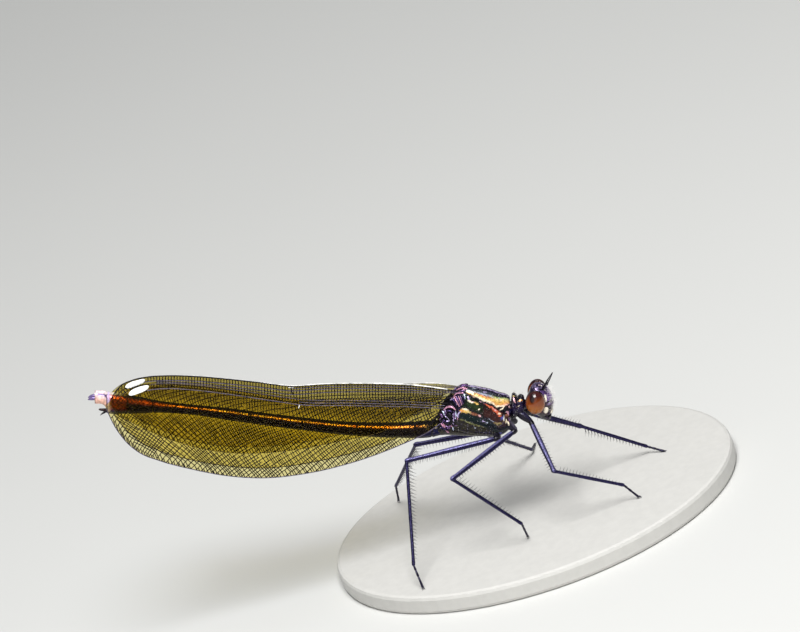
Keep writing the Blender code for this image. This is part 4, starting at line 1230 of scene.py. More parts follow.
class DAMSELFLY_OT_head(bpy.types.Operator):
    """Builds the head, its simple eyes, lips, jaws and feelers"""

    bl_idname = "damselfly.head"
    bl_label = "Head"

    def execute(self, context):
        head, body = context.scene.damselfly_head, context.scene.damselfly_body
        stations = dense_stations(HEAD, HEAD_STEP)
        bm = oval_skin(stations, HEAD_SIDES, head_depth, HeadPaint(head, body), upright=True)
        finish = painted_finish("head_cuticle", 0.22, grain=7.0)
        self.ocelli(bm, head)
        add_piece("head_skin", bm, HEAD_POSE, finish, ("head",))
        self.mouth(head, body)
        self.feelers(body)
        return {"FINISHED"}

    def ocelli(self, bm, head):
        """The three simple eyes on top of the head, each on its own low bump."""
        dark = metal(head.bronze, 0.6)
        bead = metal((0.46, 0.30, 0.24), 0.1)
        for place in ((5.34, 0.0, 2.66), (4.92, 0.40, 2.86), (4.92, -0.40, 2.86)):
            way = Vector((place[0] - 4.8, place[1], 1.0)).normalized()
            add_ball(bm, place, (0.17, 0.17, 0.13), colour=dark)
            add_ball(bm, Vector(place) + way * 0.06, (0.10, 0.10, 0.09), colour=bead)

    def mouth(self, head, body):
        """Upper and lower lip, jaws and palps."""
        cream = metal(head.cream, 0.0)
        black = metal(body.black, 0.2)
        dark = metal((0.030, 0.014, 0.045), 0.4)

        def folds(height, angle):
            return 0.05 * hump(angle, 6.0) + 0.04 * hump(height + 0.75, 0.05)

        bm = oval_skin(dense_stations(LABIUM, 0.05), 64, folds, lambda height, angle: black, upright=True)
        tilt = Matrix.Rotation(math.radians(-10), 4, "Y")
        lip = add_ball(bm, (6.10, 0, 0.10), (0.24, 0.62, 0.33), tilt, 44, cream)
        for vert in lip:
            vert.co.x -= 0.06 * hump(vert.co.y, 0.08) * ease((0.1 - vert.co.z) * 5)
        add_ball(bm, (6.00, 0, -0.26), (0.20, 0.46, 0.10), tilt, 32, dark)
        for sign in SIDES.values():
            yaw = Matrix.Rotation(math.radians(52 * sign), 4, "Z")
            add_ball(bm, (5.66, 1.18 * sign, 0.60), (0.24, 0.28, 0.38), yaw, 40, cream)
            add_ball(bm, (5.88, 0.80 * sign, 0.06), (0.22, 0.17, 0.20), yaw, 28, dark)
            palp = ((5.84, 0.62 * sign, -0.50), (6.00, 0.56 * sign, -0.42), (6.10, 0.36 * sign, -0.36))
            add_rod(bm, (*palp, (6.14, 0.14 * sign, -0.34)), (0.13, 0.12, 0.08, 0.02), 14, black)
            palp = ((5.60, 0.82 * sign, -0.30), (5.84, 0.86 * sign, -0.46), (6.06, 0.80 * sign, -0.62))
            add_rod(bm, palp, (0.11, 0.10, 0.03), 12, dark)
        finish = painted_finish("mouth_cuticle", 0.30, grain=6.0, uneven=0.12)
        add_piece("mouthparts_skin", bm, HEAD_POSE, finish, ("mouthparts",))

    def feelers(self, body):
        """Each feeler has a thick base of two parts, and a long whip that tapers."""
        black = metal(body.black, 0.3)
        ways = np.linspace(0, 1, 48)
        radii = np.interp(ways, *zip(*FEELER_RADII))
        finish = painted_finish("feeler_cuticle", 0.6, grain=8.0, uneven=0.3, bump=0.2, coat=0.0, shine=0.15)
        for side, path in ANTENNAE.items():
            bm = bmesh.new()
            add_rod(bm, smooth_through((0.0, 0.34, 0.67, 1.0), path, ways), radii, 14, black)
            add_piece("antenna_" + side + "_skin", bm, HEAD_POSE, finish, ("antenna_" + side,))


# The rims of the eyes: parts, size as a share of the eye's, way in from its middle, and radius
RIM_PARTS = 48
RIM_SIZE = 0.985
RIM_INWARD = 0.20
RIM_RADIUS = 0.045


def eye_colour(head):
    """Dark above, red-brown at the side and orange below, with a dark upright streak that faces outwards."""
    top = metal(head.eye_top, 0.0)
    side = metal(head.eye_side, 0.0)
    low = metal(head.eye_low, 0.0)
    dark = metal((0.012, 0.003, 0.004), 0.0)
    low_rim = mixed(low, dark, 0.5)
    upper = mixed(side, top, 0.5)
    stops = ((-1.0, dark), (-0.82, low_rim), (-0.5, low), (0.1, side), (0.5, upper), (0.75, top))

    def colour_at(ahead, up):
        colour = ramp(stops, up)
        streak = ease(1.8 - 1.4 * math.hypot((ahead + 0.30) / 0.28, (up - 0.58) / 0.38))
        return mixed(colour, dark, streak * 0.97)

    return colour_at


class DAMSELFLY_OT_eyes(bpy.types.Operator):
    """Builds the two large eyes and the rims that they sit in"""

    bl_idname = "damselfly.eyes"
    bl_label = "Eyes"

    def execute(self, context):
        head, body = context.scene.damselfly_head, context.scene.damselfly_body
        colour_at = eye_colour(head)
        finish = painted_finish("eye_lens", 0.06, grain=9.0, uneven=0.12, bump=0.0, coat=0.30, shine=0.45)
        for side, sign in SIDES.items():
            bm = bmesh.new()
            centre = Vector((EYE_CENTRE[0], EYE_CENTRE[1] * sign, EYE_CENTRE[2]))
            tint = paint_layer(bm)
            for vert in add_ball(bm, centre, EYE_RADII, segments=96):
                ahead = (vert.co.x - centre.x) / EYE_RADII[0]
                vert[tint] = colour_at(ahead, (vert.co.z - centre.z) / EYE_RADII[2])
            self.rim(bm, centre, sign, metal(body.black, 0.3))
            add_piece("eye_" + side + "_lens", bm, HEAD_POSE, finish, ("eye_" + side,))
        return {"FINISHED"}

    def rim(self, bm, centre, sign, colour):
        """A thin ring round the eye, on the head's side of its middle."""
        ring = []
        for step in range(RIM_PARTS + 1):
            turn = step * 2 * math.pi / RIM_PARTS
            ahead = EYE_RADII[0] * RIM_SIZE * math.cos(turn)
            up = EYE_RADII[2] * RIM_SIZE * math.sin(turn)
            ring.append(centre + Vector((ahead, -RIM_INWARD * sign, up)))
        add_rod(bm, ring, [RIM_RADIUS] * len(ring), 10, colour)


# Legs

# Each part of a leg: the share of the way along it, then its radius there as a share of the bone's own
COXA = ((-0.15, 0.20), (0.0, 0.38), (0.30, 0.43), (0.60, 0.39), (0.90, 0.31), (1.0, 0.26), (1.06, 0.16))
HIP_JOINT = ((0, 0.12), (0.12, 0.24), (0.5, 0.29), (0.85, 0.25), (1, 0.14))
FEMUR = (
    (0.03, 0.44), (0.05, 0.82), (0.10, 1.0), (0.45, 1.06), (0.8, 0.88), (0.93, 0.84), (0.975, 0.98),
    (1.0, 0.96), (1.018, 0.6), (1.022, 0.2),
)
TIBIA = (
    (-0.012, 0.3), (-0.008, 0.8), (0.0, 1.12), (0.02, 1.1), (0.05, 0.92), (0.5, 1.0), (0.92, 0.9),
    (0.975, 1.05), (1.0, 0.95), (1.012, 0.4),
)
# The three parts of a foot, the last one longest, by the share of the way to the tip
TOES = ((0.0, 0.22), (0.20, 0.48), (0.46, 0.93))
BONE_KEEL = 0.05
SPINE_RADIUS = 0.037
# The longest spine of each pair, as a share of the longest of all
SPINE_SHARES = {"front": 0.74, "mid": 0.78, "hind": 0.98}


def bone_line(node):
    """The two ends of a long node's middle line, in the model's frame, in millimetres."""
    points = np.array([vert.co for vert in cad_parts[node].data.vertices]) / MM
    middle = points.mean(axis=0)
    way = np.linalg.svd(points - middle, full_matrices=False)[2][0]
    reach = (points - middle) @ way
    return Vector(middle + way * reach.min()), Vector(middle + way * reach.max())


def leg_joints(pair, side):
    """Root, hip, knee, ankle and tip of one leg, read from the CAD nodes."""
    name = f"{pair}_{side}_"
    x, y, z = LEG_ROOTS[pair]
    root = POSE @ Vector((x, y * SIDES[side], z))
    femur = sorted(bone_line(name + "femur"), key=lambda end: (end - root).length)
    thigh = (femur[1] - femur[0]).normalized()
    knee = femur[1] - thigh * KNEE_REACH
    tibia = sorted(bone_line(name + "tibia"), key=lambda end: (end - knee).length)
    shin = (tibia[1] - tibia[0]).normalized()
    ankle = tibia[1] - shin * ANKLE_REACH
    sole = [vert.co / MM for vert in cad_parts[name + "tarsus"].data.vertices]
    low = min(point.z for point in sole)
    flat = [point for point in sole if point.z < low + 0.01]
    tip = sum(flat, Vector()) / len(flat)
    hip = femur[0] + thigh * HIP_REACH
    return root, hip, knee, ankle, tip


def add_bone(bm, start, end, shape, radius, colour, keel=0.0, upper=None):
    """Adds one straight part of a leg: its shape is shares of the way, and of the radius there."""
    way = end - start
    points = [start + way * share for share, _ in shape]
    add_rod(bm, points, [radius * size for _, size in shape], 20, colour, keel, upper)


def add_comb(bm, start, end, inner, span, lengths, lean, place, longest, step, colour, chance):
    """Adds two rows of spines along a bone's inner side.

    lengths are the first and the last one's shares of the longest. lean tips them along the bone, and place
    is where their patches start in the OFBake map.
    """
    first, last = (longest * share for share in lengths)
    way = (end - start).normalized()
    inner = (inner - way * inner.dot(way)).normalized()
    reach = (end - start).length
    count = max(2, round((span[1] - span[0]) * reach / step))
    for row in (-1, 1):
        for index in range(count):
            share = span[0] + (span[1] - span[0]) * (index + 0.5 + 0.25 * row) / count
            tilt = Quaternion(way, math.radians(row * chance.uniform(22, 34)))
            out = (tilt @ inner + way * lean).normalized()
            size = first + (last - first) * (index / count)
            root = start + way * (reach * share) + tilt @ inner * 0.10
            patch = (place + 0.4 * share, 0.35 if row < 0 else 0.65)
            add_spike(bm, root, out, size * chance.uniform(0.88, 1.08), SPINE_RADIUS, 5, colour, patch)


class DAMSELFLY_OT_legs(bpy.types.Operator):
    """Builds the six legs with their spines and claws"""

    bl_idname = "damselfly.legs"
    bl_label = "Legs"

    def execute(self, context):
        legs, body = context.scene.damselfly_legs, context.scene.damselfly_body
        finish = painted_finish("leg_cuticle", 0.28, grain=6.0, uneven=0.5, bump=0.4, coat=0.0)
        spine_finish = painted_finish("spine_cuticle", 0.35, grain=6.0, uneven=0.2, coat=0.2)
        for pair in LEG_ROOTS:
            for side in SIDES:
                self.leg(pair, side, legs, body, finish)
                self.spines(pair, side, legs, body, spine_finish)
        return {"FINISHED"}

    def leg(self, pair, side, legs, body, finish):
        """Coxa, hip, femur, tibia and foot in one skin."""
        indigo = metal(legs.indigo, 0.85)
        sheen = metal(legs.sheen, 0.3)
        dark = metal(body.black, 0.3)
        # Painted highlights on the upper sides: lilac-white on the middle coxa, sheen on the others and on
        # femur and tibia
        pale = metal((0.46, 0.42, 0.58), 0.2) if pair == "mid" else mixed(indigo, sheen, 0.4)
        root, hip, knee, ankle, tip = leg_joints(pair, side)
        thigh = (knee - hip).normalized()
        bm = bmesh.new()
        add_bone(bm, root, hip, COXA, 1.0, mixed(indigo, dark, 0.9), upper=pale)
        add_bone(bm, hip - thigh * 0.16, hip + thigh * 0.62, HIP_JOINT, 1.0, dark)
        add_bone(bm, hip, knee, FEMUR, legs.femur / MM, indigo, BONE_KEEL, sheen)
        add_bone(bm, knee, ankle, TIBIA, legs.tibia / MM, indigo, BONE_KEEL, mixed(indigo, sheen, 0.6))
        self.foot(bm, ankle, tip, legs.tarsus / MM, mixed(indigo, dark, 0.6))
        name = f"{pair}_{side}_"
        nodes = [name + bone for bone in ("coxa", "femur", "tibia", "tarsus")]
        add_piece(name + "leg", bm, Matrix.Identity(4), finish, nodes)

    def foot(self, bm, ankle, tip, radius, colour):
        """The parts of the foot, and two claws on the base."""
        way = tip - ankle
        for near, far in TOES:
            half = (near + far) / 2
            shape = ((near, 0.5), (near + 0.03, 0.85), (half, 1.0), (far - 0.03, 1.12), (far, 0.6))
            add_bone(bm, ankle, tip, shape, radius, colour)
        level = Vector((way.x, way.y, 0.0)).normalized()
        across = Vector((-level.y, level.x, 0.0))
        start = ankle + way * 0.90
        for row in (-1, 1):
            middle = start + level * 0.14 + across * 0.07 * row + Vector((0, 0, 0.02))
            end = Vector((start.x, start.y, BASE_TOP + 0.03)) + level * 0.30 + across * 0.13 * row
            add_rod(bm, (start, middle, end), (radius * 0.6, 0.045, 0.012), 8, colour)

    def spines(self, pair, side, legs, body, finish):
        """Combs of spines under the femur and behind the tibia, and on the front femur's upper side."""
        chance = random.Random(f"{pair} {side}")
        dark = metal(body.black, 0.2)
        hip, knee, ankle = leg_joints(pair, side)[1:4]
        longest = legs.spine / MM * SPINE_SHARES[pair]
        step = legs.spine_step / MM
        bm = bmesh.new()
        below = (ankle - knee).normalized() + Vector((0, 0, -0.4))
        behind = (hip - knee).normalized() + Vector((0, 0, -0.4))
        combs = [
            (hip, knee, below, (0.12, 0.92), (0.62, 0.55), 0.15, 0.05),
            (knee, ankle, behind, (0.04, 0.94), (1.0, 0.35), 0.35, 0.55),
        ]
        if pair == "front":
            combs.insert(1, (hip, knee, -below, (0.35, 0.95), (0.5, 0.8), 0.3, 0.30))
        for comb in combs:
            add_comb(bm, *comb, longest, step, dark, chance)
        add_piece(f"{pair}_{side}_spines", bm, Matrix.Identity(4), finish, ())


# Wings

FILM_COLUMNS = 150
FILM_ROWS = 36
# The white spots. lean tips them over, and blunt is the power that squares their outline
SPOT = {"long": 1.03, "high": 0.28, "thick": 0.075, "lean": 0.6, "blunt": 2.6}


def wing_offset(wings, pair, x, z):
    """How far from the middle plane a wing's sheet stands.

    The wings are nearly shut over the back, stand apart at their roots, and keep clear of the abdomen.
    """
    if pair == "fore":
        top, root, clearance, spread = wings.fore_gap / MM, 0.62, 0.10, 0.04
    else:
        top, root, clearance, spread = wings.hind_gap / MM, 0.78, 0.22, 0.32
    top = top + (root - top) * ease((x + 9.5) / 5.5)
    above = z - abdomen_line(x)
    beside = abdomen_width(x) + clearance
    low = beside + spread * ease((-1.0 - above) / 3.5)
    return top + (max(low, top) - top) * ease((2.4 - above) / 2.2)


def wing_edges(pair):
    """The wing's upper and lower edge as functions of X, and the X of its root and tip."""
    plan = WING_PAIRS[pair]
    return curve_of(plan["upper"]), curve_of(plan["lower"]), plan["upper"][0][0], plan["upper"][-1][0]


class Venation:
    """The veins of one wing as lines in its plane: each a list of x and z, with a radius."""

    # Places along the wing
    SAMPLES = 470
    # Long veins at most. Those closer than every FIRST one start only where there is room
    LONG = 128
    FIRST = 16
    # Cells between its neighbours where such a vein starts, and below which it isn't drawn
    START_CELLS = 2
    LEAST_CELLS = 0.8
    # Radius of the long veins, by how late each comes in
    COMB_RADII = (0.056, 0.054, 0.052, 0.050, 0.047, 0.045, 0.044)

    def __init__(self, pair, wings):
        self.plan = WING_PAIRS[pair]
        self.thick = pair == "fore"
        self.chance = random.Random(pair)
        upper, lower, self.root, self.tip = wing_edges(pair)
        self.xs = np.linspace(self.root, self.tip, self.SAMPLES)
        self.top = upper(self.xs)
        self.bottom = lower(self.xs)
        self.cell = wings.cell / MM
        self.step = wings.cross_step / MM
        self.thin = wings.cross_vein / MM
        self.edge = wings.edge_vein / MM
        self.lines = {"fine": [], "main": [], "pale": []}
        # The long vein under the leading edge, and how far below it the three level veins reach
        self.radial = self.top - np.minimum(0.52, 0.34 * (self.top - self.bottom))
        span = self.root - self.tip
        places = (0.0, 3.0, 8.0, self.root - self.plan["nodus"], span * 0.8, span * 0.93)
        deep = np.interp(self.root - self.xs, places, (0.05, 0.60, 1.00, 1.20, 0.75, 0.0))
        self.deep = np.minimum(deep, 0.42 * (self.radial - self.bottom))
        self.shelf = self.radial - self.deep
        self.edge_field()
        self.comb()

    def add(self, xs, zs, radius, kind="fine"):
        """Adds a line of one radius, or of one for each point."""
        if len(xs) > 1:
            radii = np.broadcast_to(radius, len(xs))
            self.lines[kind].append(list(zip(xs, zs, radii)))

    def edge_field(self):
        """The edges, the vein that ends at the notch, the long vein under both, and their rungs."""
        nodus, spot = self.plan["nodus"], self.plan["spot"][0]
        before = self.xs > nodus
        inner = self.xs > spot + 0.6
        between = self.top - (self.top - self.radial) * 0.48
        self.add(self.xs[::4], self.top[::4], self.edge)
        self.add(self.xs[::3], self.bottom[::3], 0.026 if self.thick else 0.050, "main")
        self.add(self.xs[inner][::4], self.radial[inner][::4], self.edge * 0.68, "main")
        self.add(self.xs[~inner][::4], self.radial[~inner][::4], self.thin)
        self.add(self.xs[before][::4], between[before][::4], self.edge * 0.62, "main")
        self.rungs(self.top, between, before)
        self.rungs(between, self.radial, before)
        self.rungs(self.top, self.radial, ~before & (abs(self.xs - spot) > 1.0))
        self.glint()
        self.bands()
        at = int(np.argmin(abs(self.xs - nodus)))
        notch = [self.top[at], self.radial[at], self.radial[at] - 0.42]
        self.add([nodus, nodus - 0.04, nodus + 0.12], notch, self.edge * 0.9)
        # A painted highlight at the notch
        mark = self.plan["mark"]
        self.add([nodus + x for x, _ in mark], [self.top[at] + z for _, z in mark], 0.050, "pale")

    def glint(self):
        """A painted highlight along the upper side of the leading edge, broadest near the wing's root."""
        shown = slice(17, -60, 3)
        broad = np.interp(self.root - self.xs[shown], *self.plan["glint"])
        kind = "pale" if self.thick else "main"
        self.add(self.xs[shown], self.top[shown] + self.edge * 0.75, broad, kind)

    def bands(self):
        """Three long veins that keep level under the leading edge's long vein, with rungs between."""
        above = self.radial
        there = self.deep > 0.36
        for number in (1, 2, 3):
            line = self.radial - self.deep * number / 3
            self.add_runs(line, there, 0.040, "main" if number == 1 and self.thick else "fine")
            self.rungs(above, line, there)
            above = line

    def long_vein(self, share):
        """Heights of the long vein that meets the rear edge at this share of the wing, and where it is there.

        It leaves the leading edge's long vein, or the root, and curves down ever more steeply.
        """
        end = self.root + (self.tip - self.root) * share
        reach = 25.0 * (1 - 0.74 * max(0.0, (share - 0.50) / 0.50) ** 1.5)
        reach = min(reach, self.root - end)
        start = end + reach
        at_end = float(np.interp(-end, -self.xs, self.shelf - self.bottom))
        bend = 1.25 + 1.75 * ease((share - 0.10) / 0.5)
        t = ((start - self.xs) / reach).clip(0.0, 1.0)
        there = (self.xs <= start) & (self.xs >= end)
        return self.shelf - at_end * t**bend, there

    def comb(self):
        """The long veins, each new one between two that have parted widely enough, and their cross veins."""
        heights, shown, present, rank = {}, {}, {}, {}
        for index in range(1, self.LONG):
            heights[index], shown[index] = self.long_vein(0.07 + 0.93 * index / self.LONG)
        heights[0], shown[0] = self.bottom, np.ones(self.SAMPLES, bool)
        heights[self.LONG], shown[self.LONG] = self.shelf, shown[0]
        present[0] = present[self.LONG] = shown[0]
        step = self.LONG
        level = 0
        while step > 1:
            half = step // 2
            for index in range(half, self.LONG, step):
                upper, lower = heights[index + half], np.maximum(heights[index - half], self.bottom)
                slope = np.gradient(heights[index], self.xs)
                gap = (upper - lower) / np.hypot(1.0, slope)
                there = shown[index] & (heights[self.LONG] - heights[index] > 0.10)
                if step <= self.FIRST:
                    wide = there & (gap > self.START_CELLS * self.cell)
                    first = int(np.argmax(wide)) if wide.any() else self.SAMPLES
                    there &= np.arange(self.SAMPLES) >= first
                    roomy = gap > self.cell * self.LEAST_CELLS
                    there &= roomy | (heights[index] - self.bottom < 0.6)
                present[index], rank[index] = there, level
            step = half
            level += 1
        for index in rank:
            self.add_runs(heights[index], present[index], self.COMB_RADII[min(rank[index], 6)], "fine")
        self.cross_veins(heights, present)

    def add_runs(self, line, there, radius, kind):
        """Adds the stretches of a line where it is there."""
        places = np.flatnonzero(there)
        for run in np.split(places, np.flatnonzero(np.diff(places) > 1) + 1):
            if len(run) >= 5:
                picks = sorted({*run[::4], run[-1]})
                self.add(self.xs[picks], line[picks], radius, kind)

    def rungs(self, upper, lower, where):
        """Short upright cross veins between two lines."""
        for x in np.arange(self.root - 0.3, self.tip + 0.3, -1.04 * self.step):
            place = int(np.argmin(abs(self.xs - x)))
            if where[place] and upper[place] - lower[place] > 0.05:
                self.add([x, x], [upper[place], lower[place]], self.thin)

    def cross_veins(self, heights, present):
        """Rows of cross veins that run on from one long vein to the next, square to both.

        Each long vein passes on where the ones above met it, with new ones where they have spread too far.
        """
        order = sorted(present, reverse=True)
        slopes = {index: np.gradient(heights[index], self.xs) for index in order}
        width = abs(self.xs[1] - self.xs[0])
        met = {index: [] for index in order}
        met[order[0]] = list(np.arange(self.root - 0.3, self.tip + 0.3, -self.step))
        for row, above in enumerate(order[:-1]):
            for x in self.spaced(met[above], present[above], slopes[above]):
                place = int(round((self.root - x) / width))
                if not 1 < place < self.SAMPLES - 2 or not present[above][place]:
                    continue
                below = next((index for index in order[row + 1:] if present[index][place]), None)
                height, slope = heights[above][place], slopes[above][place]
                gap = height - heights[below][place]
                if gap < 0.06:
                    continue
                foot_x = x + slope * gap / (1 + slope * slope)
                other = int(round((self.root - foot_x) / width))
                if not 0 <= other < self.SAMPLES or not present[below][other]:
                    continue
                met[below].append(foot_x)
                self.add([x, foot_x], [height, heights[below][other]], self.thin)

    def spaced(self, xs, there, slopes):
        """The places in xs, without those that crowd, and with new ones in wide gaps and at the start."""
        kept = []
        places = np.flatnonzero(there)
        if not len(places):
            return kept
        start, end = self.xs[places[0]], self.xs[places[-1]]
        xs = sorted((x for x in xs if end <= x <= start), reverse=True)
        last = start - 0.15 * self.step
        for x in (*xs, end):
            place = int(np.argmin(abs(self.xs - x)))
            stretch = math.hypot(1, slopes[place])
            gap = (last - x) * stretch
            count = int(gap / (self.step * 0.82))
            for number in range(1, count):
                spot = last - (last - x) * number / count
                kept.append(spot + self.chance.uniform(-0.05, 0.05) * self.step)
            if gap > 0.55 * self.step and x != end:
                kept.append(x + self.chance.uniform(-0.04, 0.04) * self.step)
                last = x
        return kept


def wing_point(wings, pair, side, x, z, lift=0.0):
    """A place on a wing's sheet, or lift millimetres outside it."""
    return Vector((x, (wing_offset(wings, pair, x, z) + lift) * SIDES[side], z))


def smokiness(pair, x, z, behind, down):
    """How much the film hides: more near its root and leading edge, less over the abdomen's painted highlight
    line.
    """
    base = ease(1.15 - behind / 11) * ease(1.7 - down * 1.3)
    smoke = 1 - ease(down * 1.5)
    clear = 1 - 0.7 * hump(z - abdomen_line(x), 0.9)
    return clear * ((0.118 if pair == "fore" else 0.028) + 0.080 * smoke + 0.10 * base)


def make_membrane(wings, pair, side, material):
    """The film between the wing's edges, with its columns closer together at the root and the tip."""
    upper, lower, root, tip = wing_edges(pair)
    bm = bmesh.new()
    bmesh.ops.create_grid(bm, x_segments=FILM_COLUMNS, y_segments=FILM_ROWS, size=0.5)
    tint = paint_layer(bm)
    edges = {}
    for vert in bm.verts:
        even = vert.co.x + 0.5
        down = vert.co.y + 0.5
        along = even + 0.7 * ((1 - math.cos(even * math.pi)) / 2 - even)
        x = root + (tip - root) * along
        column = round(even, 5)
        if column not in edges:
            edges[column] = (float(upper(x)), float(lower(x)))
        top, bottom = edges[column]
        z = top + (bottom - top) * down
        vert[tint] = (*wings.brown, smokiness(pair, x, z, root - x, down))
        vert.co = wing_point(wings, pair, side, x, z)
    piece = add_piece(f"wing_{pair}_{side}_membrane", bm, POSE, material, (f"wing_{pair}_{side}",))
    sheet = piece.modifiers.new("thickness", "SOLIDIFY")
    sheet.thickness = wings.sheet
    sheet.offset = 0.0


def fineness(kind, pair, side, x, z):
    """How thick a vein is drawn. Where wings lie over each other, only one of each two keeps strong veins."""
    left = side == "left"
    if kind != "fine":
        return 0.5 if left and kind == "pale" else 1.0
    covered = pair == "hind" and z > fore_lower_edge(x) + 0.1
    clear = 1 - 0.55 * hump(z - abdomen_line(x), 0.8)
    return clear * (0.14 if covered else 1.0) * (0.20 if left else 1.0)


def make_veins(wings, pair, side, kind, lines, material):
    """The veins of one kind as thin tubes in one mesh."""
    name = f"wing_{pair}_{side}_{kind}_veins"
    curve = bpy.data.curves.new(name, "CURVE")
    curve.dimensions = "3D"
    curve.bevel_depth = MM
    curve.bevel_resolution = 0
    curve.use_fill_caps = True
    to_model = Matrix.Scale(MM, 4) @ POSE
    for points in lines:
        spline = curve.splines.new("POLY")
        spline.points.add(len(points) - 1)
        for target, (x, z, radius) in zip(spline.points, points):
            x, z = float(x), float(z)
            target.co = (*(to_model @ wing_point(wings, pair, side, x, z)), 1.0)
            target.radius = radius * fineness(kind, pair, side, x, z)
    holder = bpy.data.objects.new(name + "_lines", curve)
    bpy.context.scene.collection.objects.link(holder)
    depsgraph = bpy.context.evaluated_depsgraph_get()
    mesh = bpy.data.meshes.new_from_object(holder.evaluated_get(depsgraph))
    bpy.data.objects.remove(holder, do_unlink=True)
    mesh.name = name
    mesh.materials.clear()
    mesh.shade_smooth()
    add_mesh(name, mesh, material, ())


def make_spot(wings, pair, side, material):
    """The opaque white spot near the tip: a slanted plate with round ends on both faces of the membrane."""
    plan = WING_PAIRS[pair]
    centre_x, centre_z = plan["spot"]
    bm = bmesh.new()
    turn = math.radians(plan["slant"])
    for vert in add_ball(bm, (0, 0, 0), (1.0, 1.0, 1.0), segments=48):
        u, v, w = vert.co.x, vert.co.z, vert.co.y
        blunt = (abs(u) ** SPOT["blunt"] + abs(v) ** SPOT["blunt"] + 1e-9) ** (1 / SPOT["blunt"])
        stretch = math.hypot(u, v) / blunt
        u, v = u * stretch * SPOT["long"], v * stretch * SPOT["high"]
        u += v * SPOT["lean"]
        x = centre_x + u * math.cos(turn) - v * math.sin(turn)
        z = centre_z + u * math.sin(turn) + v * math.cos(turn)
        vert.co = wing_point(wings, pair, side, x, z, SPOT["thick"] * w)
    add_piece(f"wing_{pair}_{side}_spot", bm, POSE, material, ())


class DAMSELFLY_OT_wings(bpy.types.Operator):
    """Builds the four wings: membranes, veins and white spots"""

    bl_idname = "damselfly.wings"
    bl_label = "Wings"

    def execute(self, context):
        wings = context.scene.damselfly_wings
        film = membrane_finish(wings)
        finishes = {
            "fine": vein_finish("wing_fine_vein", wings.vein, 0.55, 0.15),
            "main": vein_finish("wing_main_vein", wings.main_vein, 0.35, 0.4),
            # Painted highlights: the glint lines and the marks at the notches
            "pale": vein_finish("wing_edge_glint", wings.glint, 0.40, 0.5),
        }
        white = plain_finish("wing_spot_white", wings.spot, 0.4, grain=4.0, uneven=0.04, bump=0.1)
        for pair in WING_PAIRS:
            lines = Venation(pair, wings).lines
            for side in SIDES:
                make_membrane(wings, pair, side, film)
                for kind, finish in finishes.items():
                    make_veins(wings, pair, side, kind, lines[kind], finish)
                make_spot(wings, pair, side, white)
        return {"FINISHED"}


# Hairs

FACE_HAIRS = 230
THORAX_HAIRS = 900
# The hairs' roots lie a little under the skin: at this share of its rings' size
HAIR_ROOT = 0.97


class DAMSELFLY_OT_hairs(bpy.types.Operator):
    """Builds the fine pale hairs on the face and the thorax"""

    bl_idname = "damselfly.hairs"
    bl_label = "Hairs"

    def execute(self, context):
        head = context.scene.damselfly_head
        finish = plain_finish("pale_hair", (0.74, 0.72, 0.68), 0.4, grain=8.0)
        chance = random.Random("hairs")
        self.face(head, finish, chance)
        self.thorax(finish, chance)
        return {"FINISHED"}

    def face(self, head, finish, chance):
        """Hairs of mixed lengths on the front of the head."""
        bm = bmesh.new()
        longest = head.hair_length / MM
        for _ in range(FACE_HAIRS):
            height = chance.uniform(0.55, 2.55)
            angle = math.radians(chance.gauss(0, 26))
            middle, long, wide = ring_at(HEAD, height)
            ahead = middle + long * HAIR_ROOT * math.cos(angle)
            root = Vector((ahead, -wide * HAIR_ROOT * math.sin(angle), height))
            out = Vector((math.cos(angle), -math.sin(angle), chance.uniform(-0.1, 0.55)))
            out += Vector([chance.uniform(-0.3, 0.3) for _ in range(3)])
            patch = (0.5 + angle / (2 * math.pi), 0.1 + height / 3.6)
            add_spike(bm, root, out, longest * chance.uniform(0.35, 1.0), 0.009, 3, patch=patch)
        add_piece("face_hairs", bm, HEAD_POSE, finish, ())

    def thorax(self, finish, chance):
        """Short hairs over the thorax, more of them on its back."""
        bm = bmesh.new()
        for _ in range(THORAX_HAIRS):
            x = chance.uniform(-3.6, 3.2)
            angle = math.radians(abs(chance.gauss(0, 55)))
            sign = chance.choice((-1, 1))
            middle, high, wide = ring_at(THORAX, x)
            up = middle + high * HAIR_ROOT * math.cos(angle)
            root = Vector((x, sign * wide * HAIR_ROOT * math.sin(angle), up))
            out = Vector((0, sign * math.sin(angle), math.cos(angle)))
            out += Vector([chance.uniform(-0.4, 0.4) for _ in range(3)])
            patch = (0.5 + sign * angle / (2 * math.pi), (x + 5.0) / 9.0)
            add_spike(bm, root, out, chance.uniform(0.18, 0.42), 0.008, 3, patch=patch)
        add_piece("thorax_hairs", bm, POSE, finish, ())


# Stage

# Each light's degrees round from the insect's right side and up, then its distance and size in metres
LIGHTS = {
    "key": (13.0, 64.0, 0.45, 0.26),
    "side": (-8.0, 36.0, 0.45, 0.60),
    "top": (0.0, 88.0, 0.50, 0.36),
}
# How far the camera looks down, and the middle of its picture from the thorax: to the tail and up
VIEW_RISE = math.radians(24.0)
VIEW_BEHIND = 9.0
VIEW_ABOVE = 9.4


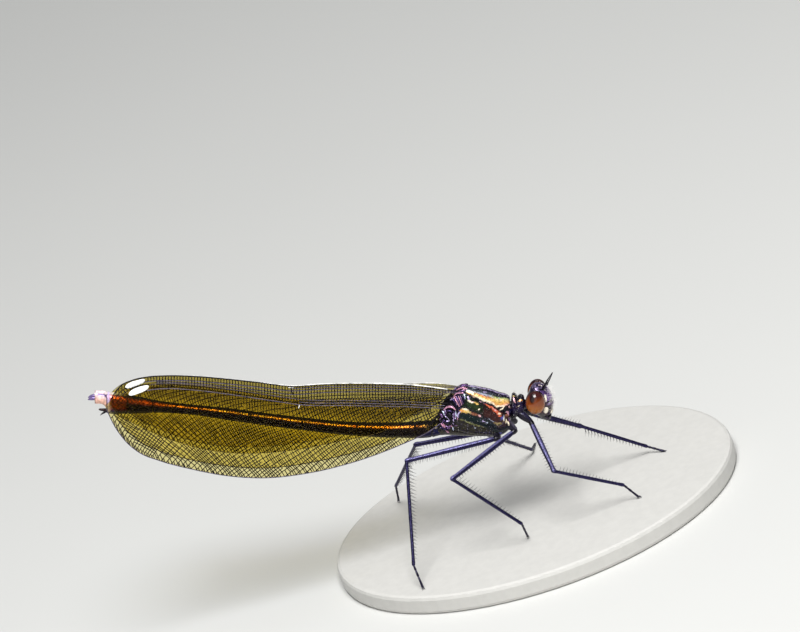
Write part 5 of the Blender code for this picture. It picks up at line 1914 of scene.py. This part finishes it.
class DAMSELFLY_OT_stage(bpy.types.Operator):
    """Finishes the display base, and sets up the floor, the lights and the camera"""

    bl_idname = "damselfly.stage"
    bl_label = "Base and stage"

    def execute(self, context):
        stage = context.scene.damselfly_stage
        self.base()
        self.floor(stage)
        self.lights(stage)
        self.camera(stage)
        context.scene.view_settings.view_transform = "Standard"
        # A ray passes many clear layers where wings lie over wings
        context.scene.cycles.transparent_max_bounces = 32
        return {"FINISHED"}

    def base(self):
        """The display base keeps its CAD mesh, in a satin grey."""
        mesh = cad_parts["stand_base"].data
        grey = (0.60, 0.59, 0.56)
        finish = plain_finish("stand_satin", grey, 0.45, grain=1.2, uneven=0.03, bump=0.08, depth=0.05)
        mesh.materials.clear()
        mesh.materials.append(finish)
        for polygon in mesh.polygons:
            polygon.material_index = 0

    def floor(self, stage):
        """A wide matt floor under the base."""
        bm = bmesh.new()
        bmesh.ops.create_grid(bm, x_segments=2, y_segments=2, size=4.0)
        mesh = bpy.data.meshes.new("floor")
        bm.to_mesh(mesh)
        bm.free()
        mesh.materials.append(plain_finish("floor_matt", stage.floor, 0.8, grain=0.01, uneven=0.01, bump=0.0))
        floor = bpy.data.objects.new("floor", mesh)
        floor.location.z = BASE_LOW.z
        bpy.context.scene.collection.objects.link(floor)

    def lights(self, stage):
        """Round lamps that face the insect, and a faint light from all round."""
        target = BODY_ORIGIN * MM
        for name, (azimuth, elevation, distance, size) in LIGHTS.items():
            light = bpy.data.lights.new(name, "AREA")
            light.shape = "DISK"
            light.size = size
            light.energy = getattr(stage, name)
            holder = bpy.data.objects.new(name + "_light", light)
            turn, rise = math.radians(azimuth), math.radians(elevation)
            level = math.cos(rise)
            way = Vector((math.sin(turn) * level, -math.cos(turn) * level, math.sin(rise)))
            holder.location = target + way * distance
            holder.rotation_mode = "QUATERNION"
            holder.rotation_quaternion = way.to_track_quat("Z", "Y")
            bpy.context.scene.collection.objects.link(holder)
        world = bpy.data.worlds.new("studio")
        world.use_nodes = True
        sky = world.node_tree.nodes["Background"].inputs
        sky["Color"].default_value = (0.90, 0.95, 1.0, 1.0)
        sky["Strength"].default_value = stage.world
        bpy.context.scene.world = world

    def camera(self, stage):
        """The photograph's view: from the insect's right and a little above, with its body level."""
        rise, pitch = VIEW_RISE, BODY_PITCH
        back = Vector((math.sin(rise) * math.sin(pitch), -math.cos(rise), math.sin(rise) * math.cos(pitch)))
        right = Vector((math.cos(pitch), 0, -math.sin(pitch)))
        up = Vector((math.cos(rise) * math.sin(pitch), math.sin(rise), math.cos(rise) * math.cos(pitch)))
        centre = (BODY_ORIGIN - right * VIEW_BEHIND + up * VIEW_ABOVE) * MM
        data = bpy.data.cameras.new("photo_view")
        data.lens = stage.lens
        data.sensor_width = 36.0
        data.clip_start = 0.01
        camera = bpy.data.objects.new("photo_view", data)
        turn = Matrix((right, up, back)).transposed()
        camera.matrix_world = Matrix.Translation(centre + back * stage.distance) @ turn.to_4x4()
        bpy.context.scene.collection.objects.link(camera)
        bpy.context.scene.camera = camera


class DAMSELFLY_PT_panel(bpy.types.Panel):
    """Lists the steps in order, then the sizes and colours"""

    bl_idname = "DAMSELFLY_PT_panel"
    bl_label = "Museum Damselfly"
    bl_space_type = "VIEW_3D"
    bl_region_type = "UI"
    bl_category = "Damselfly"

    def draw(self, context):
        for step in STEPS:
            self.layout.operator(step.bl_idname)
        for name in GROUPS:
            group = getattr(context.scene, name)
            box = self.layout.box()
            for key in group.__annotations__:
                box.prop(group, key)


STEPS = (
    DAMSELFLY_OT_thorax,
    DAMSELFLY_OT_abdomen,
    DAMSELFLY_OT_head,
    DAMSELFLY_OT_eyes,
    DAMSELFLY_OT_legs,
    DAMSELFLY_OT_wings,
    DAMSELFLY_OT_hairs,
    DAMSELFLY_OT_stage,
)
GROUPS = {
    "damselfly_body": DamselflyBody,
    "damselfly_head": DamselflyHead,
    "damselfly_wings": DamselflyWings,
    "damselfly_legs": DamselflyLegs,
    "damselfly_stage": DamselflyStage,
}


def register():
    """Adds the groups to every scene, and the steps and the panel to the sidebar."""
    for name, group in GROUPS.items():
        bpy.utils.register_class(group)
        setattr(bpy.types.Scene, name, PointerProperty(type=group))
    for step in (*STEPS, DAMSELFLY_PT_panel):
        bpy.utils.register_class(step)


def unregister():
    """Takes all of them away again."""
    for step in (*STEPS, DAMSELFLY_PT_panel):
        bpy.utils.unregister_class(step)
    for name, group in GROUPS.items():
        delattr(bpy.types.Scene, name)
        bpy.utils.unregister_class(group)


def main():
    """Builds the whole model."""
    register()
    bpy.ops.damselfly.thorax()
    bpy.ops.damselfly.abdomen()
    bpy.ops.damselfly.head()
    bpy.ops.damselfly.eyes()
    bpy.ops.damselfly.legs()
    bpy.ops.damselfly.wings()
    bpy.ops.damselfly.hairs()
    bpy.ops.damselfly.stage()
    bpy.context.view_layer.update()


if __name__ == "__main__":
    main()
